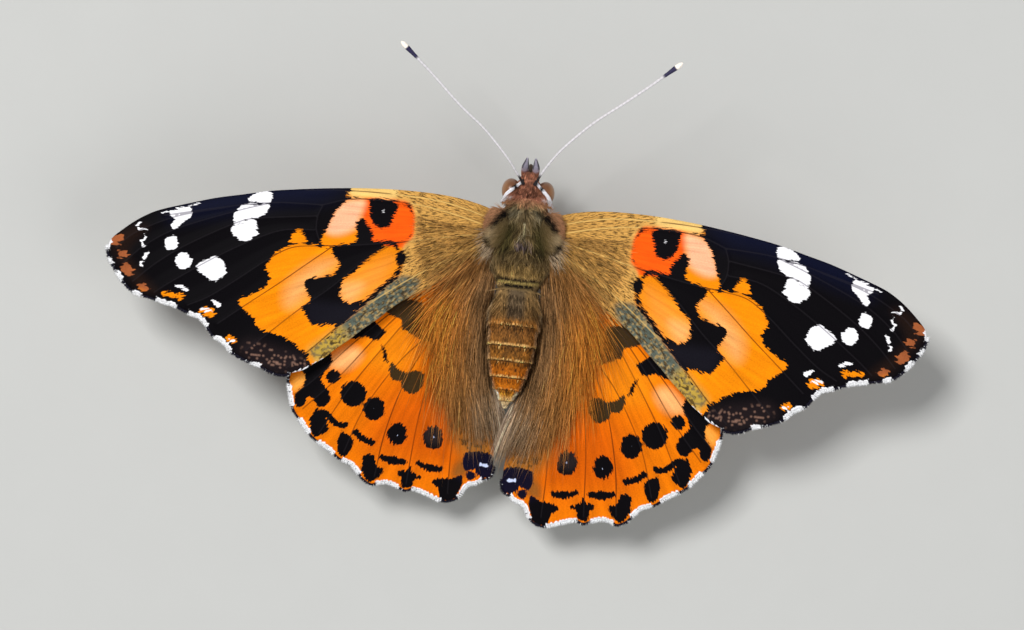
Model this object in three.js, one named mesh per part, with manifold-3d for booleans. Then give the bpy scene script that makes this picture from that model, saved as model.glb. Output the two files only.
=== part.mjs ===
// A painted lady butterfly at life size, standing on its four walking legs with its wings spread flat.
// Millimetres, +Z up, the head towards +Y. Each body part is one closed, named mesh.
import * as THREE from "three";
import { mergeVertices } from "three/addons/utils/BufferGeometryUtils.js";
import Module from "manifold-3d";

const wasm = await Module();
wasm.setup();

// Driving dimensions. The plan's zero is the middle of the thorax, and the floor is at height 0.
const PLAN_SHIFT_Y = 3.25; // brings the middle of the whole length over the origin
const GAP = 0.28; // what is left open where two parts touch
const SKIN_HALF = 0.25; // half the thickness of a wing's membrane
const VEIN_RISE = 0.16; // how far a main vein stands out of the membrane, above and below
const VEIN_HALF_WIDTH = 0.3;
const VEIN_STEP = 1.5; // distance between stations along a vein
const MARGIN_STEP = 0.9; // distance between points of a wing's outline
const FIELD_STEP = 2.1; // distance between points of the open membrane
const FIELD = { left: 0, right: 32, rear: -22, front: 4 }; // the plan area that holds every wing
const FIELD_ROOM = 0.93; // open membrane points keep this far from all others
const TUCK_ROOM = 0.3;
const VEIN_ROOM = 0.22;
const VEIN_TAPER = 0.6; // share of its rise that a vein keeps at its end
const FORE_ROOT_HEIGHT = 8.15;
const SPAN_RISE = 0.13; // the wings rise from the root by this much for each millimetre outwards,
const SPAN_DROOP = 0.0046; // less this much for each square millimetre
const CHORD_DROOP = 0.004; // and fall towards the rear margin
const LEADING_DROOP = 0.03; // and the leading edge
const HIND_DROOP = 0.0035;
const HIND_DROOP_START = -9;
const WING_APART = 1.15; // hindwing's middle surface below the forewing's, where they overlap
const CHORD_LINE_Y = 1; // the wings' chords are measured back from here
// The left wings are tipped back a little more than the right ones, so from above they look shorter.
const SIDES = [
  { name: "right", sign: 1, chord: 1, pitch: 0.035 },
  { name: "left", sign: -1, chord: 0.952, pitch: 0.075 },
];

// Forewing veins from the body to the margin, as plan points of the right wing.
const FORE_VEINS = {
  subcosta: [[1.6, 1.3], [6, 2.4], [10, 2.62], [14, 2.5], [16.6, 2.2]],
  radius: [[1.6, 0.6], [5, 1.5], [8, 2.0], [11, 2.05], [13.3, 1.85], [15.2, 1.2]],
  radial_3: [[15.2, 1.2], [19, 0.95], [23, 0.1], [27.0, -0.95]],
  radial_4: [[22, 0.3], [26, -0.9], [29, -2.5], [30.4, -3.9]],
  radial_5: [[19, 0.95], [22, -0.15], [26, -1.9], [28.3, -3.5], [29.8, -5.1]],
  cell_end: [[15.2, 1.2], [15.5, 0.3], [15.5, -0.8], [15, -2.0]],
  medial_1: [[15.5, 0.3], [19.8, -0.35], [21.6, -0.95], [25, -3.0], [27.2, -4.7], [28.9, -6.4]],
  medial_2: [[15.5, -0.8], [18, -1.1], [20.3, -2.2], [23, -3.9], [26, -6.1], [27.2, -7.1]],
  medial_3: [[15, -2.0], [17.2, -2.4], [19, -3.6], [21, -5.3], [23, -6.9], [24.6, -7.8]],
  cubital_1: [[14.2, -2.0], [16, -3.6], [18, -5.4], [20, -7.1], [22.2, -9.0]],
  cubital_2: [[9.7, -1.25], [12, -3.1], [14, -5.2], [16, -7.0], [18, -9.0], [19.9, -10.9]],
  cubitus: [[1.6, 0.1], [4, 0.1], [8, -0.8], [10.5, -1.3], [13, -1.75], [15, -2.0]],
  anal: [[1.6, -0.1], [4, -1.1], [7, -3.0], [10, -5.3], [12.6, -7.6], [15, -10.2], [16.7, -11.9]],
};
// The forewing's outline, from the root along the leading edge to the tip.
const FORE_LEADING = [
  [1.5, 1.4], [2.8, 2.1], [4.8, 2.75], [7.5, 3.05], [10.5, 3.02], [14, 2.72], [17.5, 2.22],
  [21, 1.5], [24.3, 0.55], [27.3, -0.6], [29.4, -1.85], [30.6, -2.8],
];
// Where veins end on the outer margin. The margin is drawn in a little between each two.
const FORE_MARGIN = [
  [31.05, -3.6], [30.75, -4.45], [30.2, -5.5], [29.3, -6.85], [27.6, -7.5], [25.0, -8.2],
  [22.75, -9.6], [20.4, -11.35], [17.3, -12.45],
];
const FORE_TRAILING = [
  [16.4, -12.3], [15.2, -11.75], [13.6, -10.5], [12, -9.0], [10.2, -7.25], [8.4, -5.45],
  [6.2, -3.6], [4, -2.0], [2.6, -1.1], [1.5, -0.6],
];
const FORE_SCALLOP = [0.03, 0.03, 0.05, 0.1, 0.25, 0.3, 0.3, 0.22];

// Hindwing veins.
const HIND_VEINS = {
  subcosta: [[1.6, -1.3], [5.5, -1.9], [10, -4.3], [14, -8.3], [15.9, -11.8]],
  radius: [[1.6, -1.8], [5, -3.2], [8, -5.4], [12, -9.5], [14.4, -12.4], [15.9, -13.9]],
  medial_1: [[6.5, -4.3], [9.5, -7.7], [12.6, -12.0], [15.2, -15.0]],
  medial_2: [[5.6, -4.4], [7.4, -6.2], [9.2, -8.8], [11.8, -12.9], [13.8, -16.8]],
  medial_3: [[6.6, -8.4], [8.4, -10.6], [10.6, -14.5], [11.8, -18.1]],
  cubital_1: [[5.6, -7.4], [7.6, -11.6], [8.8, -16.0], [9.3, -19.8]],
  cubital_2: [[4.3, -5.6], [5.5, -9.6], [6.4, -14.5], [6.85, -20.1]],
  cubitus: [[1.6, -2.4], [3.4, -4.2], [4.6, -6.0], [5.6, -7.4], [6.6, -8.4]],
  anal_1: [[2.2, -3.2], [3.2, -6.4], [3.5, -12], [3.7, -17], [3.65, -20.5]],
};
const HIND_LEADING = [
  [1.5, -0.9], [3.2, -0.9], [6, -1.5], [9.2, -3.1], [12, -5.4], [14.4, -8.2], [15.9, -10.8],
];
const HIND_MARGIN = [
  [16.4, -12.6], [16.2, -13.9], [15.6, -15.4], [14.1, -17.25], [11.9, -18.6], [9.4, -20.35],
  [6.85, -20.6], [3.7, -21.1], [1.75, -19.55], [0.5, -18.75],
];
const HIND_SCALLOP = [0.05, 0.06, 0.12, 0.14, 0.16, 0.22, 0.1, 0.2, 0.12];
// The inner margin, under the abdomen and up to the root.
const HIND_INNER = [
  [0.42, -17.6], [0.5, -16], [0.6, -14.6], [0.75, -13.2], [0.95, -11.6], [1.1, -9.5], [1.15, -7.5],
  [1.3, -6.1], [1.75, -5.2], [2.3, -4.6], [2.2, -3.8], [1.7, -3.2], [1.4, -2.8],
];
// The hindwing turns down round the abdomen and lies under it. It leaves the abdomen's curve where
// the first share of the curve's radius is reached, and is open wing from the second share on.
const TUCK_SHARES = [0.92, 1.45];
const TUCK_FRONT = [-3.6, -5.2]; // where the turning down starts, and where it is whole
const TUCK_REAR = [-12, -17]; // where it starts to fade, and where it has gone
const TUCK_COLUMNS = [0.45, 0.65, 0.8, 0.92, 1.03, 1.16, 1.3];
const TUCK_STEP = 1.4;

// Long hair over the hindwing's inner part, as flat locks fused to its upper face. Each row runs
// outwards from the abdomen, and its first and last lock have a root, a bend and a tip in plan.
const LOCK_ROWS = [
  {
    count: 5,
    first: [[2.75, -4.6], [3.0, -8.0], [2.7, -11.6]],
    last: [[5.6, -4.9], [6.5, -7.6], [6.7, -10.4]],
  },
  {
    count: 4,
    first: [[2.75, -8.8], [1.9, -12.6], [0.75, -16.4]],
    last: [[4.9, -8.6], [4.9, -12.0], [4.2, -15.2]],
  },
];
const LOCK_HALF_WIDTH = 0.45;
const LOCK_HALF_THICKNESS = 0.24;
const LOCK_LIFT = 0.3; // a lock's middle above the wing's
const LOCK_TIP_SHARE = 0.3;
const LOCK_STATIONS = 3;
const LOCK_STRAY = 0.22; // how far a lock's bend and tip may stray from the row's even fan

// Body sections from front to back: place along the body, half width, half height, height of the middle.
const THORAX = [
  [2.35, 1.8, 1.6, 7.33], [1.75, 2.2, 2.02, 7.2], [0.7, 2.5, 2.33, 7.05], [-0.8, 2.55, 2.4, 6.95],
  [-2.1, 2.35, 2.2, 6.85], [-3.0, 2.0, 1.85, 6.75], [-3.45, 1.75, 1.5, 6.7],
];
const COLLAR = [[3.12, 1.35, 1.12, 7.4], [2.95, 1.6, 1.3, 7.4], [2.63, 1.72, 1.42, 7.38]];
const HEAD = [
  [5.25, 0.35, 0.5, 7.25], [5.05, 0.62, 0.8, 7.3], [4.6, 0.9, 1.05, 7.4], [4.0, 0.98, 1.12, 7.45],
  [3.6, 0.92, 1.02, 7.45], [3.4, 0.7, 0.8, 7.42],
];
const ABDOMEN_HALF = [[-3.75, 1.7], [-4.6, 1.88], [-6.2, 2.0], [-7.8, 1.93], [-8.95, 1.78],
  [-10.2, 1.45], [-11.15, 1.12], [-12.0, 0.6], [-12.6, 0.22]];
const ABDOMEN_BORDERS = [-3.75, -5.0, -6.25, -7.8, -8.95, -10.2, -11.15, -12.0, -12.6];
const ABDOMEN_MID_HEIGHT = [6.65, 6.0]; // at its front and its tip
const ABDOMEN_FLATNESS = 0.94; // its height for its width
const SEGMENT_FLARE = 0.09; // a segment's hind rim stands over the next one
const SEGMENT_MIDDLE = 0.55; // shares of a segment's length: where its rim starts to rise,
const SEGMENT_RIM = 0.93; // and where the rim is highest
const SEGMENT_TUCK = 0.6; // the next segment starts this share of the flare below the rim's root

const EYE_CENTRE = [1.3, 3.85, 7.5];
const EYE_HALF = [0.7, 0.9, 0.98];
// The lobe over each forewing's root is the part of an egg shape that stands above the wing.
const TEGULA_CENTRE = [2.0, 1.1, 8.75];
const TEGULA_HALF = [1.0, 1.45, 0.72];
const TEGULA_FLOOR = 8.92;
const PALP = { root: [0.38, 4.7, 6.2], bend: [0.5, 5.6, 6.5], tip: [0.42, 6.45, 7.95], radius: 0.34 };
const PALP_WIDEST = 0.55; // share of the palp's length
const PALP_ENDS = [0.8, 0.25]; // its thickness at the root and the tip, as shares of the widest
const COIL = { centre: [0, 5.25, 5.15], inner: 0.3, outer: 1.08, turns: 1.3, radius: 0.22, tip: 0.17 };
const COIL_ROOT = [-0.45, 0.25]; // its root behind its centre and above its outer turn

// Feelers: a shaft and a club, with plan points of each side.
const FEELERS = {
  right: [[0.42, 4.4], [1.1, 5.7], [2.25, 7.3], [4.25, 9.35], [6.25, 10.95], [8.25, 12.6], [10.4, 14.5]],
  left: [[0.42, 4.4], [1.05, 5.2], [1.95, 6.3], [3.75, 8.1], [5.75, 9.65], [8.2, 11.85], [10.6, 13.85]],
};
const FEELER_HEIGHT = [8.5, 12.9];
const FEELER_ARCH = 0.5; // how far its middle stands above the straight line between its ends
const FEELER_SHAFT = 0.25;
const FEELER_CLUB = 0.43;
const CLUB_SHARE = 0.11; // share of the feeler's length that its club takes
const FEELER_TIP_SHARE = 0.015;
const FEELER_TIP_SIZE = 0.55; // the tip's thickness as a share of the club's

// Legs: where the thigh leaves the body, the knee, the ankle and the foot's end.
const LEGS = {
  midleg: {
    hip: [0.8, 0.58, 5.2],
    knee: [4.5, 1.6, 4.8],
    ankle: [6.6, 1.9, 1.0],
    toe: [9.3, 1.5, 0.16],
  },
  hindleg: {
    hip: [0.8, -1.56, 5.3],
    knee: [3.9, -4.1, 4.0],
    ankle: [5.3, -7.6, 1.0],
    toe: [6.6, -10.9, 0.16],
  },
};
const SOLE_SHARE = 0.3; // share of the foot's plan length where it has come down on the floor
const THIGH = [0.42, 0.33]; // half thickness at its thick part and at the knee
const THIGH_THICKEST = 0.35; // share of the thigh's length
const SHIN = [0.28, 0.25];
const FOOT = [0.26, 0.25];
const THIGH_SAG = 0.25;
const SHIN_BOW = 0.12;
const SPUR_LENGTH = 0.8;
const SPUR_LEAN = Math.PI / 3; // between a spur and its shin
const SPUR_RADII = [0.17, 0.06];
const SPUR_PLACE = 0.82; // share of the shin's length
const CLAW_RADII = [0.15, 0.06];
const CLAW_BACK = 0.3; // how far behind the foot's end a claw starts
const CLAW_AHEAD = 0.4;
const CLAW_ASIDE = 0.28;
const CLAW_HEIGHTS = [0.26, 0.14]; // at its root and its tip
const FORELEG = [[0.75, 1.9, 5.45], [1.0, 2.9, 4.75], [0.95, 3.6, 4.7], [0.8, 4.1, 5.5]];
const FORELEG_RADII = [0.3, 0.24];

// Colours and finishes.
const COLOURS = {
  wing: [0xe8791c, 0.75],
  body: [0x7a5c38, 0.9],
  belly: [0xb07a3c, 0.85],
  eye: [0x5a3a20, 0.25],
  feeler: [0x3a342c, 0.5],
  leg: [0xb9a184, 0.7],
};

// A closed mesh as a solid that can be joined and cut.
function solidOf(geometry) {
  const bare = geometry.clone();
  bare.deleteAttribute("normal");
  bare.deleteAttribute("uv");
  const merged = mergeVertices(bare, 1e-4);
  const mesh = new wasm.Mesh({
    numProp: 3,
    vertProperties: merged.attributes.position.array,
    triVerts: new Uint32Array(merged.index.array),
  });
  return new wasm.Manifold(mesh);
}

// The largest closed body of a solid, as a geometry.
function geometryOf(solid) {
  const bodies = solid.decompose();
  bodies.sort((a, b) => b.volume() - a.volume());
  const mesh = bodies[0].getMesh();
  const geometry = new THREE.BufferGeometry();
  geometry.setAttribute("position", new THREE.BufferAttribute(new Float32Array(mesh.vertProperties), 3));
  geometry.setIndex(new THREE.BufferAttribute(new Uint32Array(mesh.triVerts), 1));
  geometry.computeVertexNormals();
  return geometry;
}

// One piece less the space of its neighbours.
function clearOf(piece, ...neighbours) {
  return neighbours.reduce((kept, other) => kept.subtract(solidOf(other)), solidOf(piece));
}

function joined(pieces) {
  return pieces.map(solidOf).reduce((whole, piece) => whole.add(piece));
}

function mesh(name, geometry, look) {
  const [colour, roughness] = COLOURS[look];
  const made = new THREE.Mesh(
    geometry,
    new THREE.MeshStandardMaterial({ color: colour, roughness, metalness: 0 }),
  );
  made.name = name;
  return made;
}

// A closed skin over rings of points, all with the same number of points.
function skinOver(rings) {
  const sides = rings[0].length;
  const positions = rings.flat().flatMap((p) => [p.x, p.y, p.z]);
  const faces = [];
  for (let r = 0; r + 1 < rings.length; r++) {
    for (let i = 0; i < sides; i++) {
      const j = (i + 1) % sides;
      const [a, b] = [r * sides + i, r * sides + j];
      faces.push(a, b, b + sides, a, b + sides, a + sides);
    }
  }
  const last = (rings.length - 1) * sides;
  for (let i = 1; i + 1 < sides; i++) {
    faces.push(0, i + 1, i);
    faces.push(last, last + i, last + i + 1);
  }
  const geometry = new THREE.BufferGeometry();
  geometry.setAttribute("position", new THREE.BufferAttribute(new Float32Array(positions), 3));
  geometry.setIndex(faces);
  return geometry;
}

// Sections with others between them on smooth curves.
function rounded(sections, steps) {
  const column = (i) => new THREE.CatmullRomCurve3(
    sections.map((s) => new THREE.Vector3(s[0], s[i], 0)), false, "centripetal");
  const columns = [1, 2, 3].map(column);
  return Array.from({ length: steps + 1 }, (_, k) => {
    const at = columns.map((curve) => curve.getPoint(k / steps));
    return [at[0].x, at[0].y, at[1].y, at[2].y];
  });
}

// A body part from its sections. Growing it by an amount gives the space that its neighbours leave.
function bodyPart(sections, sides, grow = 0) {
  const ends = [sections[0][0], sections[sections.length - 1][0]];
  return skinOver(
    sections.map(([y, halfWidth, halfHeight, middle]) => {
      const reach = y === ends[0] ? grow : y === ends[1] ? -grow : 0;
      return Array.from({ length: sides }, (_, i) => {
        const turn = (i / sides) * 2 * Math.PI;
        return new THREE.Vector3(
          (halfWidth + grow) * Math.cos(turn),
          y + reach,
          middle + (halfHeight + grow) * Math.sin(turn),
        );
      });
    }),
  );
}

function ellipsoid(centre, half, grow = 0) {
  const ball = new THREE.SphereGeometry(1, 16, 11);
  ball.scale(half[0] + grow, half[1] + grow, half[2] + grow);
  ball.translate(...centre);
  return ball;
}

// A round bar through points, with a radius for each share of its length. A floor cuts its underside flat.
function bar(points, radiusAt, { steps = 12, sides = 8, floor = -Infinity } = {}) {
  const through = points.map((p) => new THREE.Vector3(...p));
  const curve = new THREE.CatmullRomCurve3(through, false, "centripetal");
  const frames = curve.computeFrenetFrames(steps, false);
  const rings = [];
  for (let k = 0; k <= steps; k++) {
    const middle = curve.getPointAt(k / steps);
    const radius = radiusAt(k / steps);
    rings.push(
      Array.from({ length: sides }, (_, i) => {
        const turn = (i / sides) * 2 * Math.PI;
        const point = middle
          .clone()
          .addScaledVector(frames.normals[k], radius * Math.cos(turn))
          .addScaledVector(frames.binormals[k], radius * Math.sin(turn));
        point.z = Math.max(point.z, floor);
        return point;
      }),
    );
  }
  return outward(skinOver(rings));
}

// Turns a closed skin's faces round if they point inwards.
function outward(geometry) {
  if (solidOf(geometry).volume() < 0) {
    const index = geometry.index.array;
    for (let i = 0; i < index.length; i += 3) {
      [index[i + 1], index[i + 2]] = [index[i + 2], index[i + 1]];
    }
  }
  return geometry;
}

const mix = (a, b, t) => a + (b - a) * t;
const ease = (t) => {
  const c = Math.min(1, Math.max(0, t));
  return c * c * (3 - 2 * c);
};
const sided = (points, sign) => points.map(([x, y, z]) => [x * sign, y, z]);

// Points at even steps along a smooth plan line.
function spaced(points, step) {
  const curve = new THREE.SplineCurve(points.map(([x, y]) => new THREE.Vector2(x, y)));
  const count = Math.max(2, Math.round(curve.getLength() / step));
  return curve.getSpacedPoints(count);
}

// The margin between vein ends, drawn in towards the wing by its scallop.
function scalloped(ends, depths) {
  const made = [];
  for (let i = 0; i + 1 < ends.length; i++) {
    const [a, b] = [new THREE.Vector2(...ends[i]), new THREE.Vector2(...ends[i + 1])];
    const along = b.clone().sub(a);
    const inward = new THREE.Vector2(along.y, -along.x).normalize();
    const count = Math.max(1, Math.round(along.length() / MARGIN_STEP));
    for (let k = 0; k < count; k++) {
      const t = k / count;
      made.push(a.clone().lerp(b, t).addScaledVector(inward, depths[i] * Math.sin(Math.PI * t)));
    }
  }
  made.push(new THREE.Vector2(...ends[ends.length - 1]));
  return made;
}

// Heights of the wings' middle surfaces over the plan of the right side.
function foreHeight(x, y, pitch) {
  const span = x - 1.5;
  const arch = SPAN_RISE * span - SPAN_DROOP * span * span;
  const behind = CHORD_LINE_Y - y;
  const fall = pitch * behind + CHORD_DROOP * behind * behind + LEADING_DROOP * Math.max(0, y) ** 2;
  return FORE_ROOT_HEIGHT + arch - fall;
}

// Half width of the abdomen's own outline, without the segments' rims.
function abdomenHalf(y) {
  const next = ABDOMEN_HALF.findIndex(([at]) => at <= y + 1e-6);
  if (next === 0) return ABDOMEN_HALF[0][1];
  if (next < 0) return ABDOMEN_HALF[ABDOMEN_HALF.length - 1][1];
  const [[y0, half0], [y1, half1]] = [ABDOMEN_HALF[next - 1], ABDOMEN_HALF[next]];
  return mix(half0, half1, (y - y0) / (y1 - y0));
}

function abdomenMiddle(y) {
  const [front, tip] = [ABDOMEN_BORDERS[0], ABDOMEN_BORDERS[ABDOMEN_BORDERS.length - 1]];
  return mix(...ABDOMEN_MID_HEIGHT, (y - front) / (tip - front));
}

const tuckRadius = (y) => abdomenHalf(y) + SEGMENT_FLARE + SKIN_HALF + GAP;

function hindHeight(x, y, pitch) {
  const droop = HIND_DROOP * Math.max(0, HIND_DROOP_START - y) ** 2;
  const open = foreHeight(x, y, pitch) - WING_APART - droop;
  const radius = tuckRadius(y);
  const [leaves, opens] = TUCK_SHARES.map((share) => share * radius);
  const across = Math.min(x, leaves);
  const round = abdomenMiddle(y) - ABDOMEN_FLATNESS * Math.sqrt(radius * radius - across * across);
  const tucked = mix(round, open, ease((x - leaves) / (opens - leaves)));
  const front = ease((TUCK_FRONT[0] - y) / (TUCK_FRONT[0] - TUCK_FRONT[1]));
  const rear = 1 - ease((TUCK_REAR[0] - y) / (TUCK_REAR[0] - TUCK_REAR[1]));
  return mix(open, tucked, front * rear);
}

// Plan points that carry the turn round the abdomen.
function tuckPoints() {
  const made = [];
  for (let y = TUCK_FRONT[0]; y > TUCK_REAR[1]; y -= TUCK_STEP) {
    for (const share of TUCK_COLUMNS) made.push(new THREE.Vector2(share * tuckRadius(y), y));
  }
  return made;
}

// Delaunay triangles of plan points, added one at a time inside one large triangle.
function triangulate(points) {
  const count = points.length;
  const nudged = points.map((p, i) => [p.x + 1e-5 * Math.sin(i * 12.9), p.y + 1e-5 * Math.sin(i * 78.2)]);
  nudged.push([-1e3, -1e3], [1e3, -1e3], [0, 1.5e3]);
  const circled = (a, b, c) => {
    const [[ax, ay], [bx, by], [cx, cy]] = [nudged[a], nudged[b], nudged[c]];
    const d = 2 * (ax * (by - cy) + bx * (cy - ay) + cx * (ay - by));
    const [aa, bb, cc] = [ax * ax + ay * ay, bx * bx + by * by, cx * cx + cy * cy];
    const x = (aa * (by - cy) + bb * (cy - ay) + cc * (ay - by)) / d;
    const y = (aa * (cx - bx) + bb * (ax - cx) + cc * (bx - ax)) / d;
    return { of: [a, b, c], x, y, reach: (ax - x) ** 2 + (ay - y) ** 2 };
  };
  let triangles = [circled(count, count + 1, count + 2)];
  for (let i = 0; i < count; i++) {
    const [px, py] = nudged[i];
    const edges = new Map();
    triangles = triangles.filter((t) => {
      if ((px - t.x) ** 2 + (py - t.y) ** 2 >= t.reach) return true;
      const [a, b, c] = t.of;
      for (const [u, v] of [[a, b], [b, c], [c, a]]) {
        if (!edges.delete(`${v},${u}`)) edges.set(`${u},${v}`, [u, v]);
      }
      return false;
    });
    for (const [u, v] of edges.values()) triangles.push(circled(u, v, i));
  }
  return triangles.map((t) => t.of).filter((of) => of.every((i) => i < count));
}

function insideOutline(x, y, outline) {
  let inside = false;
  for (let i = 0, j = outline.length - 1; i < outline.length; j = i++) {
    const [a, b] = [outline[i], outline[j]];
    if (a.y > y !== b.y > y && x < ((b.x - a.x) * (y - a.y)) / (b.y - a.y) + a.x) inside = !inside;
  }
  return inside;
}

// A wing: its membrane with the veins raised out of both faces, as one closed skin.
function wing(plan, veins, extra, heightAt, side) {
  const chorded = (p) => new THREE.Vector2(p.x, CHORD_LINE_Y + (p.y - CHORD_LINE_Y) * side.chord);
  const outline = plan.map(chorded);
  const points = outline.map((p) => ({ x: p.x, y: p.y, rise: 0 }));
  const nearest = (x, y) => points.reduce((d, p) => Math.min(d, Math.hypot(p.x - x, p.y - y)), Infinity);
  const roomAt = (x, y, room) => insideOutline(x, y, outline) && nearest(x, y) > room;
  for (const line of Object.values(veins)) {
    const stations = spaced(line, VEIN_STEP).map(chorded);
    const last = stations.length - 1;
    stations.forEach((at, k) => {
      const along = stations[Math.min(k + 1, last)].clone().sub(stations[Math.max(k - 1, 0)]);
      const across = new THREE.Vector2(-along.y, along.x).normalize();
      const rise = VEIN_RISE * mix(1, VEIN_TAPER, k / last);
      if (roomAt(at.x, at.y, VEIN_ROOM)) points.push({ x: at.x, y: at.y, rise });
      for (const way of [-1, 1]) {
        const x = at.x + way * across.x * VEIN_HALF_WIDTH;
        const y = at.y + way * across.y * VEIN_HALF_WIDTH;
        if (roomAt(x, y, VEIN_ROOM)) points.push({ x, y, rise: 0 });
      }
    });
  }
  for (const p of extra) {
    if (roomAt(p.x, p.y, TUCK_ROOM)) points.push({ x: p.x, y: p.y, rise: 0 });
  }
  for (let x = FIELD.left; x < FIELD.right; x += FIELD_STEP) {
    for (let y = FIELD.rear; y < FIELD.front; y += FIELD_STEP) {
      if (roomAt(x, y, FIELD_ROOM)) points.push({ x, y, rise: 0 });
    }
  }
  const triangles = triangulate(points).filter((of) => {
    const x = (points[of[0]].x + points[of[1]].x + points[of[2]].x) / 3;
    const y = (points[of[0]].y + points[of[1]].y + points[of[2]].y) / 3;
    return insideOutline(x, y, outline);
  });
  return closedSheet(points, triangles, heightAt, side);
}

// The way out of a wing's middle surface at a plan point.
function normalAt(heightAt, x, y) {
  const h = 0.01;
  const slopeX = (heightAt(x + h, y) - heightAt(x - h, y)) / (2 * h);
  const slopeY = (heightAt(x, y + h) - heightAt(x, y - h)) / (2 * h);
  return new THREE.Vector3(-slopeX, -slopeY, 1).normalize();
}

// Both faces of a sheet, split into the same triangles, and the rim between them.
function closedSheet(points, triangles, heightAt, side) {
  const faces = [];
  for (const way of [1, -1]) {
    for (const p of points) {
      const out = normalAt(heightAt, p.x, p.y).multiplyScalar(way * (SKIN_HALF + p.rise));
      faces.push((p.x + out.x) * side.sign, p.y + out.y, heightAt(p.x, p.y) + out.z);
    }
  }
  const rim = new Map();
  const index = [];
  const below = points.length;
  for (const [a, b, c] of triangles) {
    const p = points;
    const turn = (p[b].x - p[a].x) * (p[c].y - p[a].y) - (p[b].y - p[a].y) * (p[c].x - p[a].x);
    const [u, v, w] = turn > 0 ? [a, b, c] : [a, c, b];
    index.push(u, v, w, below + u, below + w, below + v);
    for (const [s, t] of [[u, v], [v, w], [w, u]]) {
      if (!rim.delete(`${t},${s}`)) rim.set(`${s},${t}`, [s, t]);
    }
  }
  for (const [s, t] of rim.values()) index.push(s, below + s, below + t, s, below + t, t);
  const geometry = new THREE.BufferGeometry();
  geometry.setAttribute("position", new THREE.BufferAttribute(new Float32Array(faces), 3));
  geometry.setIndex(index);
  return outward(geometry);
}

// A flat tapered lock that bends along the wing, its underside sunk in the membrane.
function lock(route, heightAt, side) {
  const curve = new THREE.QuadraticBezierCurve(...route.map(([x, y]) => new THREE.Vector2(x, y)));
  const rings = [];
  for (let k = 0; k <= LOCK_STATIONS; k++) {
    const share = k / LOCK_STATIONS;
    const at = curve.getPoint(share);
    const along = curve.getTangent(share);
    const out = normalAt(heightAt, at.x, at.y);
    const across = new THREE.Vector3(-along.y, along.x, 0);
    across.addScaledVector(out, -across.dot(out)).normalize();
    const taper = share < 0.5 ? 1 : mix(1, LOCK_TIP_SHARE, share * 2 - 1);
    const middle = new THREE.Vector3(at.x, at.y, heightAt(at.x, at.y));
    middle.addScaledVector(out, LOCK_LIFT);
    const [wide, thick] = [LOCK_HALF_WIDTH * taper, LOCK_HALF_THICKNESS * mix(1, taper, 0.6)];
    const corners = [[wide, 0], [0, thick], [-wide, 0], [0, -thick]];
    rings.push(corners.map(([u, v]) => {
      const corner = middle.clone().addScaledVector(across, u).addScaledVector(out, v);
      return new THREE.Vector3(corner.x * side.sign, corner.y, corner.z);
    }));
  }
  return outward(skinOver(rings));
}

function hairLocks(heightAt, side) {
  const made = [];
  for (const { count, first, last } of LOCK_ROWS) {
    for (let i = 0; i < count; i++) {
      const route = first.map(([x, y], k) => {
        const stray = k * LOCK_STRAY * Math.sin(2.4 * i + k + side.sign);
        const share = i / (count - 1);
        return [mix(x, last[k][0], share) + stray * 0.5, mix(y, last[k][1], share) + stray];
      });
      made.push(lock(route, heightAt, side));
    }
  }
  return made;
}

const foreOutline = [
  ...spaced(FORE_LEADING, MARGIN_STEP),
  ...scalloped(FORE_MARGIN, FORE_SCALLOP),
  ...spaced(FORE_TRAILING, MARGIN_STEP),
];
const hindOutline = [
  ...spaced(HIND_LEADING, MARGIN_STEP),
  ...scalloped(HIND_MARGIN, HIND_SCALLOP),
  ...spaced(HIND_INNER, MARGIN_STEP),
];

// The abdomen's sections, with each segment's hind rim standing over the next one.
function abdomenSections() {
  const section = (y, flare) => {
    const half = abdomenHalf(y) + flare;
    return [y, half, half * ABDOMEN_FLATNESS, abdomenMiddle(y)];
  };
  const made = [section(ABDOMEN_BORDERS[0], 0)];
  for (let i = 0; i + 1 < ABDOMEN_BORDERS.length; i++) {
    const [start, end] = [ABDOMEN_BORDERS[i], ABDOMEN_BORDERS[i + 1]];
    const flare = i + 2 === ABDOMEN_BORDERS.length ? 0 : SEGMENT_FLARE;
    made.push(section(mix(start, end, SEGMENT_MIDDLE), 0));
    made.push(section(mix(start, end, SEGMENT_RIM), flare));
    made.push(section(end, -flare * SEGMENT_TUCK));
  }
  return made;
}

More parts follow.
